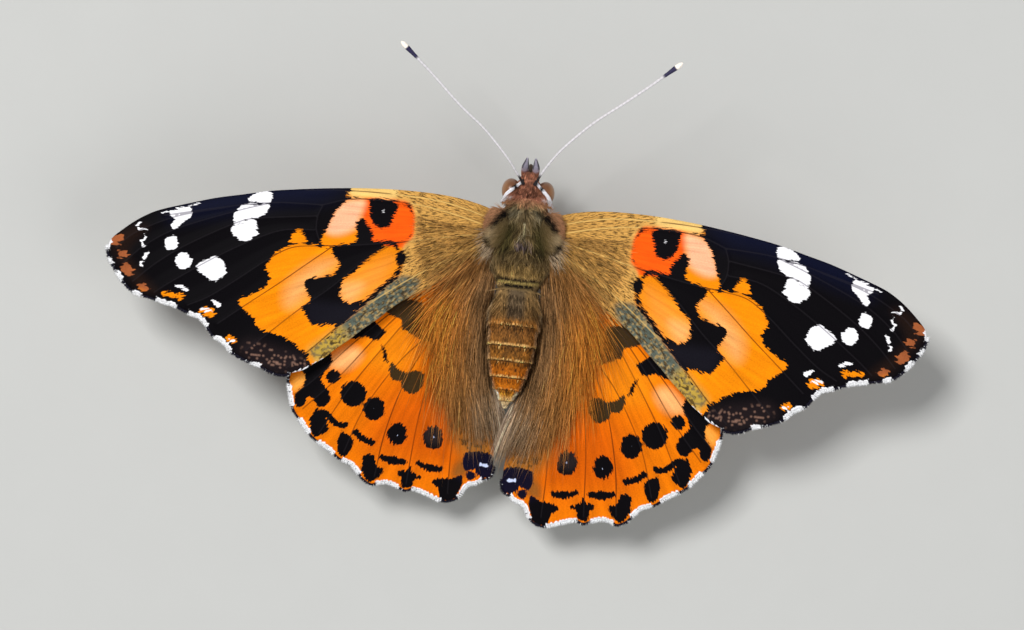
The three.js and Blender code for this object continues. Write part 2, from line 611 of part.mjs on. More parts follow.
// A leg as thigh, shin and foot, each clear of the one before. The foot's underside is flat on the floor.
function leg(name, { hip, knee, ankle, toe }, side, bodySpace) {
  const [h, k, a, t] = sided([hip, knee, ankle, toe], side.sign);
  const bow = (p, q, lift) => [mix(p[0], q[0], 0.5), mix(p[1], q[1], 0.5), mix(p[2], q[2], 0.5) + lift];
  const fromThickest = (s) => Math.abs(s - THIGH_THICKEST) / (1 - THIGH_THICKEST);
  const thighRadius = (s) => mix(...THIGH, ease(fromThickest(s)));
  const thigh = (grow) => bar([h, bow(h, k, -THIGH_SAG), k], (s) => thighRadius(s) + grow, { steps: 8 });
  const shinRadius = (s) => mix(SHIN[0], SHIN[1], s);
  const shin = (grow) => bar([k, bow(k, a, SHIN_BOW), a], (s) => shinRadius(s) + grow, { steps: 7 });
  const onFloor = [mix(a[0], t[0], SOLE_SHARE), mix(a[1], t[1], SOLE_SHARE), t[2]];
  const foot = bar([a, onFloor, bow(onFloor, t, 0), t], (s) => mix(FOOT[0], FOOT[1], s), {
    steps: 8,
    floor: 0,
  });
  const shinLength = Math.hypot(a[0] - k[0], a[1] - k[1], a[2] - k[2]);
  const [downX, downY, downZ] = [0, 1, 2].map((i) => (a[i] - k[i]) / shinLength);
  const flat = Math.hypot(downX, downY);
  const [acrossX, acrossY] = [-downY / flat, downX / flat];
  const spur = (way, grow) => {
    const root = [0, 1, 2].map((i) => mix(k[i], a[i], SPUR_PLACE));
    const ahead = SPUR_LENGTH * Math.cos(SPUR_LEAN);
    const aside = way * SPUR_LENGTH * Math.sin(SPUR_LEAN);
    const end = [
      root[0] + downX * ahead + acrossX * aside,
      root[1] + downY * ahead + acrossY * aside,
      root[2] + downZ * ahead,
    ];
    return bar([root, end], (s) => mix(...SPUR_RADII, s) + grow, { steps: 2, sides: 6 });
  };
  const spurs = (grow) => [-1, 1].map((way) => spur(way, grow));
  const claws = [-1, 1].map((way) => {
    const [dx, dy] = [t[0] - a[0], t[1] - a[1]];
    const length = Math.hypot(dx, dy);
    const [ux, uy] = [dx / length, dy / length];
    const root = [t[0] - ux * CLAW_BACK, t[1] - uy * CLAW_BACK, CLAW_HEIGHTS[0]];
    const aside = CLAW_ASIDE * way;
    const end = [
      t[0] + ux * CLAW_AHEAD - uy * aside,
      t[1] + uy * CLAW_AHEAD + ux * aside,
      CLAW_HEIGHTS[1],
    ];
    return bar([root, end], (s) => mix(...CLAW_RADII, s), { steps: 2, sides: 5, floor: 0 });
  });
  const spurredShin = joined([shin(0), ...spurs(0)]).subtract(solidOf(thigh(GAP)));
  const clawedFoot = joined([foot, ...claws]).subtract(joined([shin(GAP), ...spurs(GAP)]));
  return [
    mesh(`${name}_thigh_${side.name}`, geometryOf(clearOf(thigh(0), bodySpace)), "leg"),
    mesh(`${name}_shin_${side.name}`, geometryOf(spurredShin), "leg"),
    mesh(`${name}_foot_${side.name}`, geometryOf(clawedFoot), "leg"),
  ];
}

function feeler(side, headSpace) {
  const plan = FEELERS[side.name];
  const points = plan.map(([x, y], i) => {
    const share = i / (plan.length - 1);
    return [x * side.sign, y, mix(...FEELER_HEIGHT, share) + FEELER_ARCH * Math.sin(Math.PI * share)];
  });
  const radius = (s) => {
    const club = ease((s - 1 + CLUB_SHARE) / (CLUB_SHARE * 0.6)) * (FEELER_CLUB - FEELER_SHAFT);
    return (FEELER_SHAFT + club) * (s > 1 - FEELER_TIP_SHARE ? FEELER_TIP_SIZE : 1);
  };
  const shape = bar(points, radius, { steps: 32 });
  return mesh(`antenna_${side.name}`, geometryOf(clearOf(shape, headSpace)), "feeler");
}

// The tongue, rolled up under the head.
function tongue(headSpace) {
  const { centre, inner, outer, turns, radius, tip } = COIL;
  const points = [];
  const steps = 22;
  for (let k = 0; k <= steps; k++) {
    const t = k / steps;
    const turn = 0.5 * Math.PI - 2 * Math.PI * turns * (1 - t);
    const reach = mix(inner, outer, t);
    points.push([0, centre[1] - reach * Math.cos(turn), centre[2] + reach * Math.sin(turn)]);
  }
  points.push([0, centre[1] + COIL_ROOT[0], centre[2] + outer + COIL_ROOT[1]]);
  const coil = bar(points, (s) => mix(tip, radius, ease(s * 2)), { steps: 36, sides: 7 });
  return mesh("proboscis", geometryOf(clearOf(coil, headSpace)), "feeler");
}

function palp(side, headSpace, eyeSpace) {
  const points = sided([PALP.root, PALP.bend, PALP.tip], side.sign);
  const swell = (s) => s < PALP_WIDEST
    ? mix(PALP_ENDS[0], 1, s / PALP_WIDEST)
    : mix(1, PALP_ENDS[1], (s - PALP_WIDEST) / (1 - PALP_WIDEST));
  const radius = (s) => PALP.radius * swell(s);
  const shape = bar(points, radius, { steps: 9 });
  return mesh(`palp_${side.name}`, geometryOf(clearOf(shape, headSpace, eyeSpace)), "body");
}

// The wings, eye, lobe, palp, feeler and legs of one side.
function sideParts(side, space) {
  const foreSheet = (x, y) => foreHeight(x, y, side.pitch);
  const hindSheet = (x, y) => hindHeight(x, y, side.pitch);
  const fore = wing(foreOutline, FORE_VEINS, [], foreSheet, side);
  const hindSkin = wing(hindOutline, HIND_VEINS, tuckPoints(), hindSheet, side);
  const hind = joined([hindSkin, ...hairLocks(hindSheet, side)]);
  const [eyeCentre, tegulaCentre] = sided([EYE_CENTRE, TEGULA_CENTRE], side.sign);
  const eyeSpace = ellipsoid(eyeCentre, EYE_HALF, GAP);
  const eye = clearOf(ellipsoid(eyeCentre, EYE_HALF), space.head, space.collar);
  const tegula = clearOf(ellipsoid(tegulaCentre, TEGULA_HALF), space.thorax);
  const forelegBar = bar(sided(FORELEG, side.sign), (s) => mix(...FORELEG_RADII, s), { steps: 9 });
  return [
    mesh(`forewing_${side.name}`, geometryOf(clearOf(fore, space.thorax)), "wing"),
    mesh(`hindwing_${side.name}`, geometryOf(hind.subtract(joined([space.thorax, space.abdomen]))), "wing"),
    mesh(`eye_${side.name}`, geometryOf(eye), "eye"),
    mesh(`tegula_${side.name}`, geometryOf(tegula.trimByPlane([0, 0, 1], TEGULA_FLOOR)), "body"),
    palp(side, space.head, eyeSpace),
    feeler(side, space.head),
    mesh(`foreleg_${side.name}`, geometryOf(clearOf(forelegBar, space.thorax)), "leg"),
    ...Object.entries(LEGS).flatMap(([name, joints]) => leg(name, joints, side, space.thorax)),
  ];
}

function build() {
  const whole = new THREE.Group();
  const body = {
    thorax: [rounded(THORAX, 12), 24, "body"],
    collar: [COLLAR, 24, "body"],
    head: [rounded(HEAD, 8), 20, "body"],
    abdomen: [abdomenSections(), 20, "belly"],
  };
  const space = {};
  for (const [name, [sections, sides, look]] of Object.entries(body)) {
    whole.add(mesh(name, geometryOf(solidOf(outward(bodyPart(sections, sides)))), look));
    space[name] = outward(bodyPart(sections, sides, GAP));
  }
  whole.add(tongue(space.head), ...SIDES.flatMap((side) => sideParts(side, space)));
  whole.position.y = PLAN_SHIFT_Y;
  return whole;
}

export default build();
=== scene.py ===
"""A painted lady butterfly at life size: scaled wings, fur, feelers, legs and a rolled tongue.

Shapes are given in plan millimetres: x across the wings, y along the body towards the head, z up
from the floor. The plan's zero is the middle of the thorax. Patterns are given for the right wings.
"""
import math
from typing import Callable, NamedTuple

import bpy
import numpy as np
from bpy.props import FloatProperty, FloatVectorProperty, IntProperty, PointerProperty
from mathutils import Matrix, Vector
from mathutils.geometry import delaunay_2d_cdt


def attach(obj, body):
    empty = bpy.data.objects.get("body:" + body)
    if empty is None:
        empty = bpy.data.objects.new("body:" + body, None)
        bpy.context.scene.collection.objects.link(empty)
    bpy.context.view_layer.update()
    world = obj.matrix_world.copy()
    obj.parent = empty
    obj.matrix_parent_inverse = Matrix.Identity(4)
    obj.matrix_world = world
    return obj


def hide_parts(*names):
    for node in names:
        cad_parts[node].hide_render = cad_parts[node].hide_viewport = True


bl_info = {
    "name": "Painted lady butterfly",
    "version": (1, 0, 0),
    "blender": (4, 5, 0),
    "location": "View3D > Sidebar > Butterfly",
    "description": "Builds a life-size painted lady butterfly with scaled wings and fur",
    "category": "Object",
}

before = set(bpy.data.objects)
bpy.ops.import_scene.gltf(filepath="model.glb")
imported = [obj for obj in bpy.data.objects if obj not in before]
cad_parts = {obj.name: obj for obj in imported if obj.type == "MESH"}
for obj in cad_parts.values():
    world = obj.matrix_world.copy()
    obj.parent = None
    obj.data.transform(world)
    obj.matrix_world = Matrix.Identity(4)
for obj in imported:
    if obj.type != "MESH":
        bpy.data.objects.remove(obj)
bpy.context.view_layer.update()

MM = 0.001
PLAN_SHIFT_Y = 3.25  # from the plan's zero to the frame's
TINY = 1e-9

# Sizes shared with the solid model.

# Each side's sign across the body, share of the wings' chord that shows, and backward pitch.
SIDES = {"right": (1, 1.0, 0.035), "left": (-1, 0.952, 0.075)}
FORE_ROOT_HEIGHT = 8.15
WING_APART = 1.15  # the hindwing's height below the forewing
CHORD_LINE_Y = 1.0  # the line that a side's wings pitch and shorten about
SOLID_WING_HALF = 0.25  # half the thickness of a solid wing
GAP = 0.28  # between the solids
# A hindwing's inner edge turns down round the abdomen: from and to these shares of its radius
# across, and coming and going between these places along the body.
TUCK_SHARES = (0.92, 1.45)
TUCK_FRONT = (-3.6, -5.2)
TUCK_REAR = (-12, -17)

# The abdomen: places along it with its half width there, and the borders of its rings.
ABDOMEN_HALF = [(-3.75, 1.7), (-4.6, 1.88), (-6.2, 2.0), (-7.8, 1.93), (-8.95, 1.78), (-10.2, 1.45),
                (-11.15, 1.12), (-12.0, 0.6), (-12.6, 0.22)]
ABDOMEN_BORDERS = [-3.75, -5.0, -6.25, -7.8, -8.95, -10.2, -11.15, -12.0, -12.6]
ABDOMEN_MID_HEIGHT = (6.65, 6.0)
ABDOMEN_FLATNESS = 0.94
RING_FLARE = 0.09  # how far a ring's rear rim stands out
RIM_SHARE = 0.6  # of that, in the skin
NECK_Y = 3.2
BODY_CORE_HEIGHT = 7
BELLY_FUR_SHARE = 0.35  # how dense the fur below is against that above
SKIN_DEPTH = (0.25, 0.12)  # how far the skin lies inside the solids in front and behind, for the fur

# Sections of head, collar and thorax: place along the body, half width, half height, middle height.
FRONT_SECTIONS = [
    (5.25, 0.35, 0.5, 7.25), (5.05, 0.62, 0.8, 7.3), (4.6, 0.9, 1.05, 7.4), (4.0, 0.98, 1.12, 7.45),
    (3.6, 1.0, 1.02, 7.45), (3.3, 1.12, 0.98, 7.42), (2.95, 1.55, 1.28, 7.4), (2.63, 1.72, 1.4, 7.38),
    (2.35, 1.85, 1.62, 7.33), (1.75, 2.2, 2.02, 7.2), (0.7, 2.5, 2.33, 7.05), (-0.8, 2.55, 2.4, 6.95),
    (-2.1, 2.35, 2.2, 6.85), (-3.0, 2.0, 1.85, 6.75), (-3.5, 1.75, 1.5, 6.7),
]
EYE_CENTRE = (1.3, 3.85, 7.5)
EYE_HALF = (0.7, 0.9, 0.98)
TEGULA_CENTRE = (2.0, 1.1, 8.75)
TEGULA_HALF = (1.0, 1.45, 0.72)
PALP_LINE = [(0.34, 4.7, 6.3), (0.42, 5.5, 6.7), (0.32, 6.4, 7.95)]
FEELERS = {
    "right": [(0.42, 4.4), (1.1, 5.7), (2.25, 7.3), (4.25, 9.35), (6.25, 10.95), (8.25, 12.6), (10.4, 14.5)],
    "left": [(0.42, 4.4), (1.05, 5.2), (1.95, 6.3), (3.75, 8.1), (5.75, 9.65), (8.2, 11.85), (10.6, 13.85)],
}
FEELER_HEIGHT = (8.5, 12.9)
LEGS = {
    "midleg": [(0.8, 0.58, 5.2), (4.5, 1.6, 4.8), (6.6, 1.9, 1.0), (9.3, 1.5, 0.16)],
    "hindleg": [(0.8, -1.56, 5.3), (3.9, -4.1, 4.0), (5.3, -7.6, 1.0), (6.6, -10.9, 0.16)],
}
FORELEG = [(0.75, 1.9, 5.45), (1.0, 2.9, 4.75), (0.95, 3.6, 4.7), (0.8, 4.1, 5.5)]

# Wing outlines and veins.

FORE_OUTLINE = [
    (1.6, -0.3), (1.7, 1.3), (2.4, 2.2), (4.25, 2.75), (6.25, 3.0), (8.25, 3.05), (10.25, 3.0),
    (12.25, 2.85), (13.25, 2.75), (15.25, 2.5), (17.25, 2.2), (19.25, 1.85), (21.25, 1.35), (23.25, 0.85),
    (25.25, 0.2), (27.25, -0.5), (28.25, -1.0), (29.25, -1.7), (30.25, -2.6), (30.8, -3.2), (31.0, -3.8),
    (30.85, -4.6), (30.45, -5.3), (29.95, -6.0), (29.35, -6.7), (28.65, -7.2), (27.65, -7.45),
    (26.65, -7.65), (25.55, -7.9), (24.45, -8.35), (23.55, -8.6), (22.95, -9.2), (22.45, -9.9),
    (21.55, -10.4), (20.85, -11.1), (19.75, -11.6), (18.75, -11.9), (17.75, -12.35), (17.05, -12.45),
    (16.45, -12.3), (15.45, -11.95), (14.75, -11.4), (13.95, -10.8), (13.25, -10.1), (12.25, -9.2),
    (11.25, -8.2), (10.25, -7.3), (8.95, -6.0), (7.5, -4.9), (5.5, -3.4), (3.0, -1.5), (2.2, -0.9),
]
FORE_MARGIN_ENDS = ((31.0, -3.8), (16.45, -12.3))
HIND_OUTLINE = [
    (1.5, -0.9), (3.2, -0.9), (6, -1.5), (9.2, -3.1), (12, -5.4), (14.4, -8.2), (15.9, -10.8),
    (16.4, -12.6), (16.3, -13.5), (16.1, -14.3), (15.85, -15.1), (15.6, -15.5), (15.15, -16.0),
    (14.75, -16.5), (14.35, -17.0), (13.85, -17.4), (13.15, -17.75), (12.55, -18.2), (12.05, -18.6),
    (11.55, -18.75), (11.05, -18.95), (10.55, -19.5), (10.05, -20.1), (9.45, -20.4), (9.05, -20.25),
    (8.25, -20.1), (7.45, -20.35), (6.85, -20.6), (6.25, -20.4), (5.25, -20.7), (4.45, -21.0),
    (3.85, -21.15), (3.25, -21.0), (2.85, -20.7), (2.55, -20.1), (2.15, -19.6), (1.55, -19.4),
    (1.15, -19.1), (0.65, -18.9), (0.42, -18.4), (0.42, -17.6), (0.5, -16), (0.6, -14.6), (0.75, -13.2),
    (0.95, -11.6), (1.1, -9.5), (1.15, -7.5), (1.3, -6.1), (1.75, -5.2), (2.3, -4.6), (2.2, -3.8),
    (1.7, -3.2), (1.4, -2.8),
]
HIND_MARGIN_ENDS = ((16.4, -12.6), (0.42, -18.0))

FORE_VEINS = [
    [(1.6, 1.3), (6, 2.4), (10, 2.62), (14, 2.5), (16.6, 2.2)],
    [(1.6, 0.6), (5, 1.5), (8, 2.0), (11, 2.05), (13.3, 1.85), (15.2, 1.2)],
    [(15.2, 1.2), (19, 0.95), (23, 0.1), (27.0, -0.95)],
    [(22, 0.3), (26, -0.9), (29, -2.5), (30.4, -3.9)],
    [(19, 0.95), (22, -0.15), (26, -1.9), (28.3, -3.5), (29.8, -5.1)],
    [(15.2, 1.2), (15.5, 0.3), (15.5, -0.8), (15, -2.0)],
    [(15.5, 0.3), (19.8, -0.35), (21.6, -0.95), (25, -3.0), (27.2, -4.7), (28.9, -6.4)],
    [(15.5, -0.8), (18, -1.1), (20.3, -2.2), (23, -3.9), (26, -6.1), (27.2, -7.1)],
    [(15, -2.0), (17.2, -2.4), (19, -3.6), (21, -5.3), (23, -6.9), (24.6, -7.8)],
    [(14.2, -2.0), (16, -3.6), (18, -5.4), (20, -7.1), (22.2, -9.0)],
    [(9.7, -1.25), (12, -3.1), (14, -5.2), (16, -7.0), (18, -9.0), (19.9, -10.9)],
    [(1.6, 0.1), (4, 0.1), (8, -0.8), (10.5, -1.3), (13, -1.75), (15, -2.0)],
    [(1.6, -0.1), (4, -1.1), (7, -3.0), (10, -5.3), (12.6, -7.6), (15, -10.2), (16.7, -11.9)],
]
HIND_VEINS = [
    [(1.6, -1.3), (5.5, -1.9), (10, -4.3), (14, -8.3), (15.9, -11.8)],
    [(1.6, -1.8), (5, -3.2), (8, -5.4), (12, -9.5), (14.4, -12.4), (15.9, -13.9)],
    [(6.5, -4.3), (9.5, -7.7), (12.6, -12.0), (15.2, -15.0)],
    [(5.6, -4.4), (7.4, -6.2), (9.2, -8.8), (11.8, -12.9), (13.8, -16.8)],
    [(6.6, -8.4), (8.4, -10.6), (10.6, -14.5), (11.8, -18.1)],
    [(5.6, -7.4), (7.6, -11.6), (8.8, -16.0), (9.3, -19.8)],
    [(4.3, -5.6), (5.5, -9.6), (6.4, -14.5), (6.85, -20.1)],
    [(1.6, -2.4), (3.4, -4.2), (4.6, -6.0), (5.6, -7.4), (6.6, -8.4)],
    [(2.2, -3.2), (3.2, -6.4), (3.5, -12), (3.7, -17), (3.65, -20.5)],
]
FRINGE_COUNT = 2600
FRINGE_WIDTH = 0.09
RAY_SCALE = 13.0  # the radius at which a ray's place is in millimetres
RIM_WIDTH = 0.13  # of the white on the wing itself
APEX_START = 22.5  # where the forewing's buff tip begins below

# The fringe's white arcs: the middle of each on the outline, and half its length.
FRINGE_WHITES = {
    "forewing": [((30.97, -3.69), 0.4), ((30.5, -4.82), 0.28), ((29.84, -5.98), 0.42), ((28.39, -7.17), 0.35),
                 ((26.15, -7.65), 0.85), ((23.53, -8.57), 0.95), ((21.55, -10.4), 0.85), ((18.98, -11.8), 0.4)],
    "hindwing": [((16.2, -14.0), 0.9), ((14.9, -16.3), 0.75), ((13.1, -17.8), 0.8), ((11.0, -19.0), 0.95),
                 ((8.25, -20.1), 0.95), ((5.25, -20.7), 1.2), ((2.2, -19.7), 1.2)],
}

# Patterns. A mark is a blob through points, a spot with a centre and half sizes, or a streak along
# points with a half width.

FORE_BRIGHT = [
    ("blob", [(1.2, -1.2), (1.2, 1.8), (2.4, 2.9), (6, 3.5), (10, 3.5), (13.0, 3.1), (13.1, 2.55), (13.6, 2.1),
              (11.9, 2.05), (9.6, 2.15), (8.7, 1.9), (8.4, 1.2), (8.3, 0.3), (8.5, -0.6), (9.3, -1.15),
              (9.2, -1.7), (9.1, -2.3), (8.9, -3.0), (9.4, -3.9), (10.4, -5.1), (11.5, -6.4), (13.0, -8.2),
              (14.4, -9.6), (15.2, -10.5), (14.5, -11.4), (12, -9.4), (8, -5.8), (4, -2.9)]),
    ("blob", [(8.3, 1.06), (8.1, 0.33), (8.3, -0.35), (8.9, -1.05), (9.86, -1.01), (11.07, -1.18),
              (11.29, -0.99), (11.35, -0.44), (11.9, 0.2), (12.2, 0.6), (12.1, 1.5), (11.69, 1.97),
              (9.65, 2.1), (8.95, 1.81)]),
    ("blob", [(11.75, 2.0), (12.9, 1.95), (13.6, 1.6), (14.09, 0.9), (14.53, 0.0), (14.93, -1.12),
              (15.05, -1.83), (14.38, -2.02), (13.51, -1.7), (12.39, -1.38), (12.48, -0.55), (12.61, 0.0),
              (12.2, 0.49), (11.8, 0.7)]),
    ("blob", [(16.0, -1.8), (16.4, -1.35), (16.65, -0.8), (17.04, -1.1), (17.31, -1.46), (17.5, -1.95),
              (17.0, -2.05), (16.52, -1.95)]),
    ("blob", [(14.3, -2.14), (15.69, -1.99), (16.65, -2.01), (17.53, -2.39), (18.3, -2.91), (18.73, -3.57),
              (18.93, -4.27), (18.6, -5.03), (18.97, -5.82), (20.01, -6.54), (20.75, -6.9), (20.48, -7.56),
              (19.7, -8.12), (18.97, -9.04), (17.92, -9.27), (16.54, -9.78), (15.65, -10.36), (14.47, -10.48),
              (13.94, -9.59), (13.3, -8.2), (14.3, -8.25), (15.2, -8.25), (15.69, -7.49), (16.0, -6.98),
              (15.4, -6.4), (15.7, -5.8), (16.0, -5.1), (15.6, -4.65), (14.9, -4.5), (14.02, -4.21),
              (13.55, -3.54), (13.6, -3.05), (14.1, -2.6)]),
    ("blob", [(9.35, -1.65), (10.0, -1.38), (10.67, -1.94), (11.47, -2.69), (12.29, -3.68), (13.05, -4.4),
              (13.28, -5.13), (13.25, -5.85), (12.58, -6.27), (11.57, -5.95), (10.63, -5.1), (9.7, -4.2),
              (9.1, -3.4), (9.19, -2.5)]),
    ("blob", [(22.4, -8.2), (22.9, -7.85), (23.5, -7.95), (23.77, -8.16), (23.2, -8.46), (22.6, -8.6)]),
    ("streak", [(25.1, -7.2), (26.4, -7.1)], 0.2), ("streak", [(20.76, -10.16), (21.4, -10.1)], 0.15),
    ("blob", [(29.78, -3.04), (30.23, -2.85), (30.8, -3.11), (30.91, -3.57), (30.57, -3.72), (30.1, -3.41)]),
    ("blob", [(29.07, -5.32), (29.52, -5.0), (29.9, -5.36), (29.71, -5.8), (29.25, -5.95), (28.95, -5.68)]),
    ("blob", [(27.66, -6.66), (28.24, -6.48), (28.45, -6.78), (28.07, -7.1), (27.6, -7.02)]),
    ("blob", [(29.5, -4.07), (30.2, -4.1), (30.1, -4.62), (29.5, -4.6)]),
]
FORE_DARK = [
    ("blob", [(9.65, 2.0), (10.6, 2.2), (11.67, 2.1), (11.74, 1.4), (11.58, 0.66), (11.18, 0.02),
              (10.47, -0.1), (9.9, 0.3), (9.9, 0.9), (9.65, 1.3)]),
    ("blob", [(12.15, 0.5), (12.58, -0.18), (12.46, -0.79), (12.35, -1.5), (11.69, -1.5), (11.3, -1.16),
              (11.24, -0.57), (11.7, 0.0)]),
    ("spot", (8.95, -2.3), (0.42, 0.62)),
    ("streak", [(8.95, -2.8), (9.15, -3.7), (10.2, -4.85), (11.4, -6.2)], 0.17),
]
FORE_WHITE = [
    ("spot", (10.65, 1.3), (0.02, 0.03)),
    ("blob", [(19.15, 1.75), (19.83, 1.7), (20.3, 1.5), (20.7, 1.17), (20.85, 0.9), (20.3, 0.92), (19.8, 0.91),
              (19.2, 0.87), (19.08, 1.36)]),
    ("blob", [(19.2, 0.68), (19.95, 0.68), (20.67, 0.62), (21.2, 0.42), (21.65, -0.11), (21.75, -0.7),
              (21.55, -0.98), (21.1, -0.75), (20.54, -0.46), (19.98, -0.34), (19.48, 0.04)]),
    ("blob", [(20.02, -0.74), (20.43, -0.57), (21.06, -0.89), (21.85, -1.34), (21.7, -1.9), (21.3, -2.1),
              (20.98, -2.32), (20.48, -2.1), (19.8, -1.55), (20.2, -1.35), (19.86, -1.2), (20.08, -1.0)]),
    ("blob", [(25.0, -0.28), (25.4, -0.12), (25.91, -0.38), (26.6, -0.6), (26.4, -0.99), (26.1, -1.1),
              (26.33, -1.51), (26.27, -1.98), (25.93, -1.75), (25.57, -1.3), (25.13, -0.97), (24.95, -0.63)]),
    ("spot", (26.27, -3.07), (0.48, 0.56)), ("spot", (25.24, -4.35), (0.6, 0.58)),
    ("blob", [(22.5, -3.9), (23.05, -3.78), (23.57, -4.15), (24.2, -4.66), (23.95, -5.08), (23.23, -5.5),
              (22.78, -5.68), (22.35, -5.4), (21.95, -5.0), (22.07, -4.6), (22.19, -4.15)]),
    ("streak", [(24.4, 0.3), (25.03, 0.12), (26.54, -0.52), (27.2, -0.8)], 0.0),
    ("streak", [(28.75, -1.68), (28.95, -2.0), (28.72, -2.3)], 0.05),
    ("streak", [(28.17, -2.12), (28.61, -2.17)], 0.03),
    ("streak", [(28.36, -2.58), (28.26, -2.9), (28.52, -3.18), (28.32, -3.49)], 0.05),
    ("streak", [(27.9, -4.0), (28.2, -4.34), (28.16, -4.7), (28.47, -4.86), (28.32, -5.1)], 0.06),
    ("streak", [(24.78, -6.55), (25.6, -6.41)], 0.1), ("streak", [(22.27, -7.56), (22.65, -7.33)], 0.1),
    ("streak", [(22.75, -7.98), (23.5, -8.0)], 0.08), ("streak", [(20.8, -10.3), (21.2, -10.2)], 0.06),
    ("streak", [(14.0, -10.95), (14.8, -11.55), (15.6, -12.1), (16.4, -12.4)], 0.09),
]
HIND_DARK = [
    ("spot", (13.15, -12.2), (0.5, 0.5)), ("spot", (11.5, -13.4), (0.95, 1.0)),
    ("spot", (9.85, -14.4), (0.78, 0.92)), ("spot", (7.9, -16.2), (0.7, 0.86)),
    ("spot", (5.15, -16.2), (0.72, 0.92)),
    ("blob", [(6.35, -11.3), (7.25, -11.1), (7.95, -11.7), (7.85, -12.5), (7.15, -12.9), (6.55, -12.5)]),
    ("blob", [(7.65, -11.4), (8.45, -11.0), (8.75, -10.6), (9.0, -10.9), (8.85, -11.7), (8.35, -12.0),
              (7.75, -11.9)]),
    ("streak", [(9.75, -9.3), (9.5, -9.8), (9.3, -10.5)], 0.1),
    ("blob", [(9.55, -8.3), (10.15, -7.8), (10.85, -7.3), (11.65, -7.6), (12.6, -8.8), (11.85, -9.0),
              (10.95, -8.7), (10.35, -9.0), (9.85, -8.7)]),
    ("blob", [(6.15, -8.5), (6.45, -7.0), (7.25, -5.6), (8.85, -5.6), (9.65, -6.6), (8.45, -7.1),
              (8.35, -7.8), (7.45, -8.2), (6.85, -8.5)]),
    ("blob", [(13.35, -10.8), (14.3, -9.6), (15.6, -11.2), (15.4, -12.2), (15.15, -12.6), (15.45, -13.4),
              (15.85, -14.0), (15.75, -14.9), (15.15, -14.7), (14.85, -14.0), (14.45, -14.1),
              (14.15, -14.6), (13.65, -14.7), (13.25, -14.2), (13.35, -13.5), (13.85, -12.9),
              (14.15, -12.4), (13.85, -11.9)]),
    ("blob", [(13.35, -15.0), (14.15, -15.0), (14.55, -15.8), (14.45, -16.6), (14.15, -17.1),
              (13.55, -16.9), (13.15, -16.3), (13.35, -15.7)]),
    ("streak", [(11.85, -15.9), (12.45, -16.0), (13.35, -15.2)], 0.2),
    ("streak", [(9.75, -17.1), (10.35, -17.0), (11.05, -16.4)], 0.22),
    ("blob", [(11.15, -17.4), (11.45, -16.7), (12.15, -16.6), (12.35, -17.2), (12.25, -18.0),
              (11.85, -18.5), (11.45, -18.1)]),
    ("streak", [(7.15, -18.4), (8.05, -18.4), (8.85, -18.2)], 0.2), ("spot", (8.05, -18.35), (0.6, 0.33)),
    ("streak", [(4.35, -18.6), (5.15, -18.7), (6.05, -18.4)], 0.18), ("spot", (5.15, -18.65), (0.5, 0.3)),
    ("blob", [(8.65, -19.2), (9.25, -18.9), (9.55, -18.2), (10.25, -18.2), (10.25, -18.9),
              (10.35, -19.4), (9.85, -20.1), (9.35, -20.2)]),
    ("blob", [(5.75, -19.5), (6.45, -19.2), (6.65, -18.7), (6.95, -19.1), (7.65, -19.1), (7.25, -19.7),
              (7.15, -20.4), (6.45, -20.3), (6.25, -19.7)]),
    ("blob", [(2.65, -19.0), (3.45, -19.3), (4.65, -19.5), (4.85, -19.8), (4.35, -20.3), (4.15, -21.1),
              (3.15, -21.0), (2.75, -20.1)]),
    ("blob", [(0.5, -17.2), (1.45, -17.0), (2.45, -17.1), (2.75, -17.9), (2.45, -18.5), (1.75, -18.4),
              (1.25, -19.0), (0.55, -18.9), (0.35, -18.0)]),
    ("spot", (2.0, -18.95), (0.4, 0.3)),
]
HIND_WHITE = [
    ("streak", [(0.85, -18.05), (1.4, -17.95)], 0.12), ("spot", (9.88, -14.45), (0.04, 0.05)),
    ("spot", (7.9, -16.3), (0.04, 0.04)), ("spot", (5.12, -16.2), (0.08, 0.09)),
]
# The hindwing's eyespots below: middle and size, and the colour and share of the size of each ring.
EYESPOTS = [((11.5, -13.4), 1.1), ((9.85, -14.4), 0.8), ((7.9, -16.2), 0.75), ((5.15, -16.2), 1.05),
            ((13.15, -12.2), 0.55)]
EYESPOT_RINGS = [("3a3020", 1.25), ("d9b24a", 1.08), ("10131f", 0.62), ("7f9ac4", 0.26)]
# How far scales reach over the edges of marks, as shares of the setting.
TOOTH_SHARES = {"forewing": 3.6, "hindwing": 2.4}


def paint(code):
    """A display colour such as "c8762a" as linear red, green and blue."""
    shown = [int(code[i:i + 2], 16) / 255 for i in (0, 2, 4)]
    return np.array([c / 12.92 if c <= 0.04045 else ((c + 0.055) / 1.055) ** 2.4 for c in shown])


# Colours of the areas within a pattern: colour, softness of the edge in millimetres, and marks.
FORE_TINTS = [
    ("f2580c", 0.2, [("blob", [(8.55, 2.2), (8.4, -1.3), (11.6, -1.3), (12.1, 0.4), (11.9, 2.2)])]),
    ("fab48a", 0.4, [("blob", [(12.2, 1.9), (13.8, 1.5), (14.6, 0), (14.7, -0.9), (13.8, -1.0), (12.7, -0.4),
                               (12.3, 0.7)])]),
    ("f09030", 0.9, [("blob", [(9.6, -2.4), (11.0, -3.0), (13.3, -5.0), (13.1, -6.0), (12.2, -6.2),
                               (10.4, -4.9)])]),
    ("f6a85e", 0.6, [("blob", [(11.6, -4.7), (13.1, -4.9), (13.1, -5.9), (12.3, -6.1)])]),
    ("f0a45a", 0.8, [("blob", [(13.8, -3.0), (15.6, -3.6), (17.2, -5.4), (17.2, -7.0), (16.2, -6.6),
                               (14.6, -4.3)])]),
]
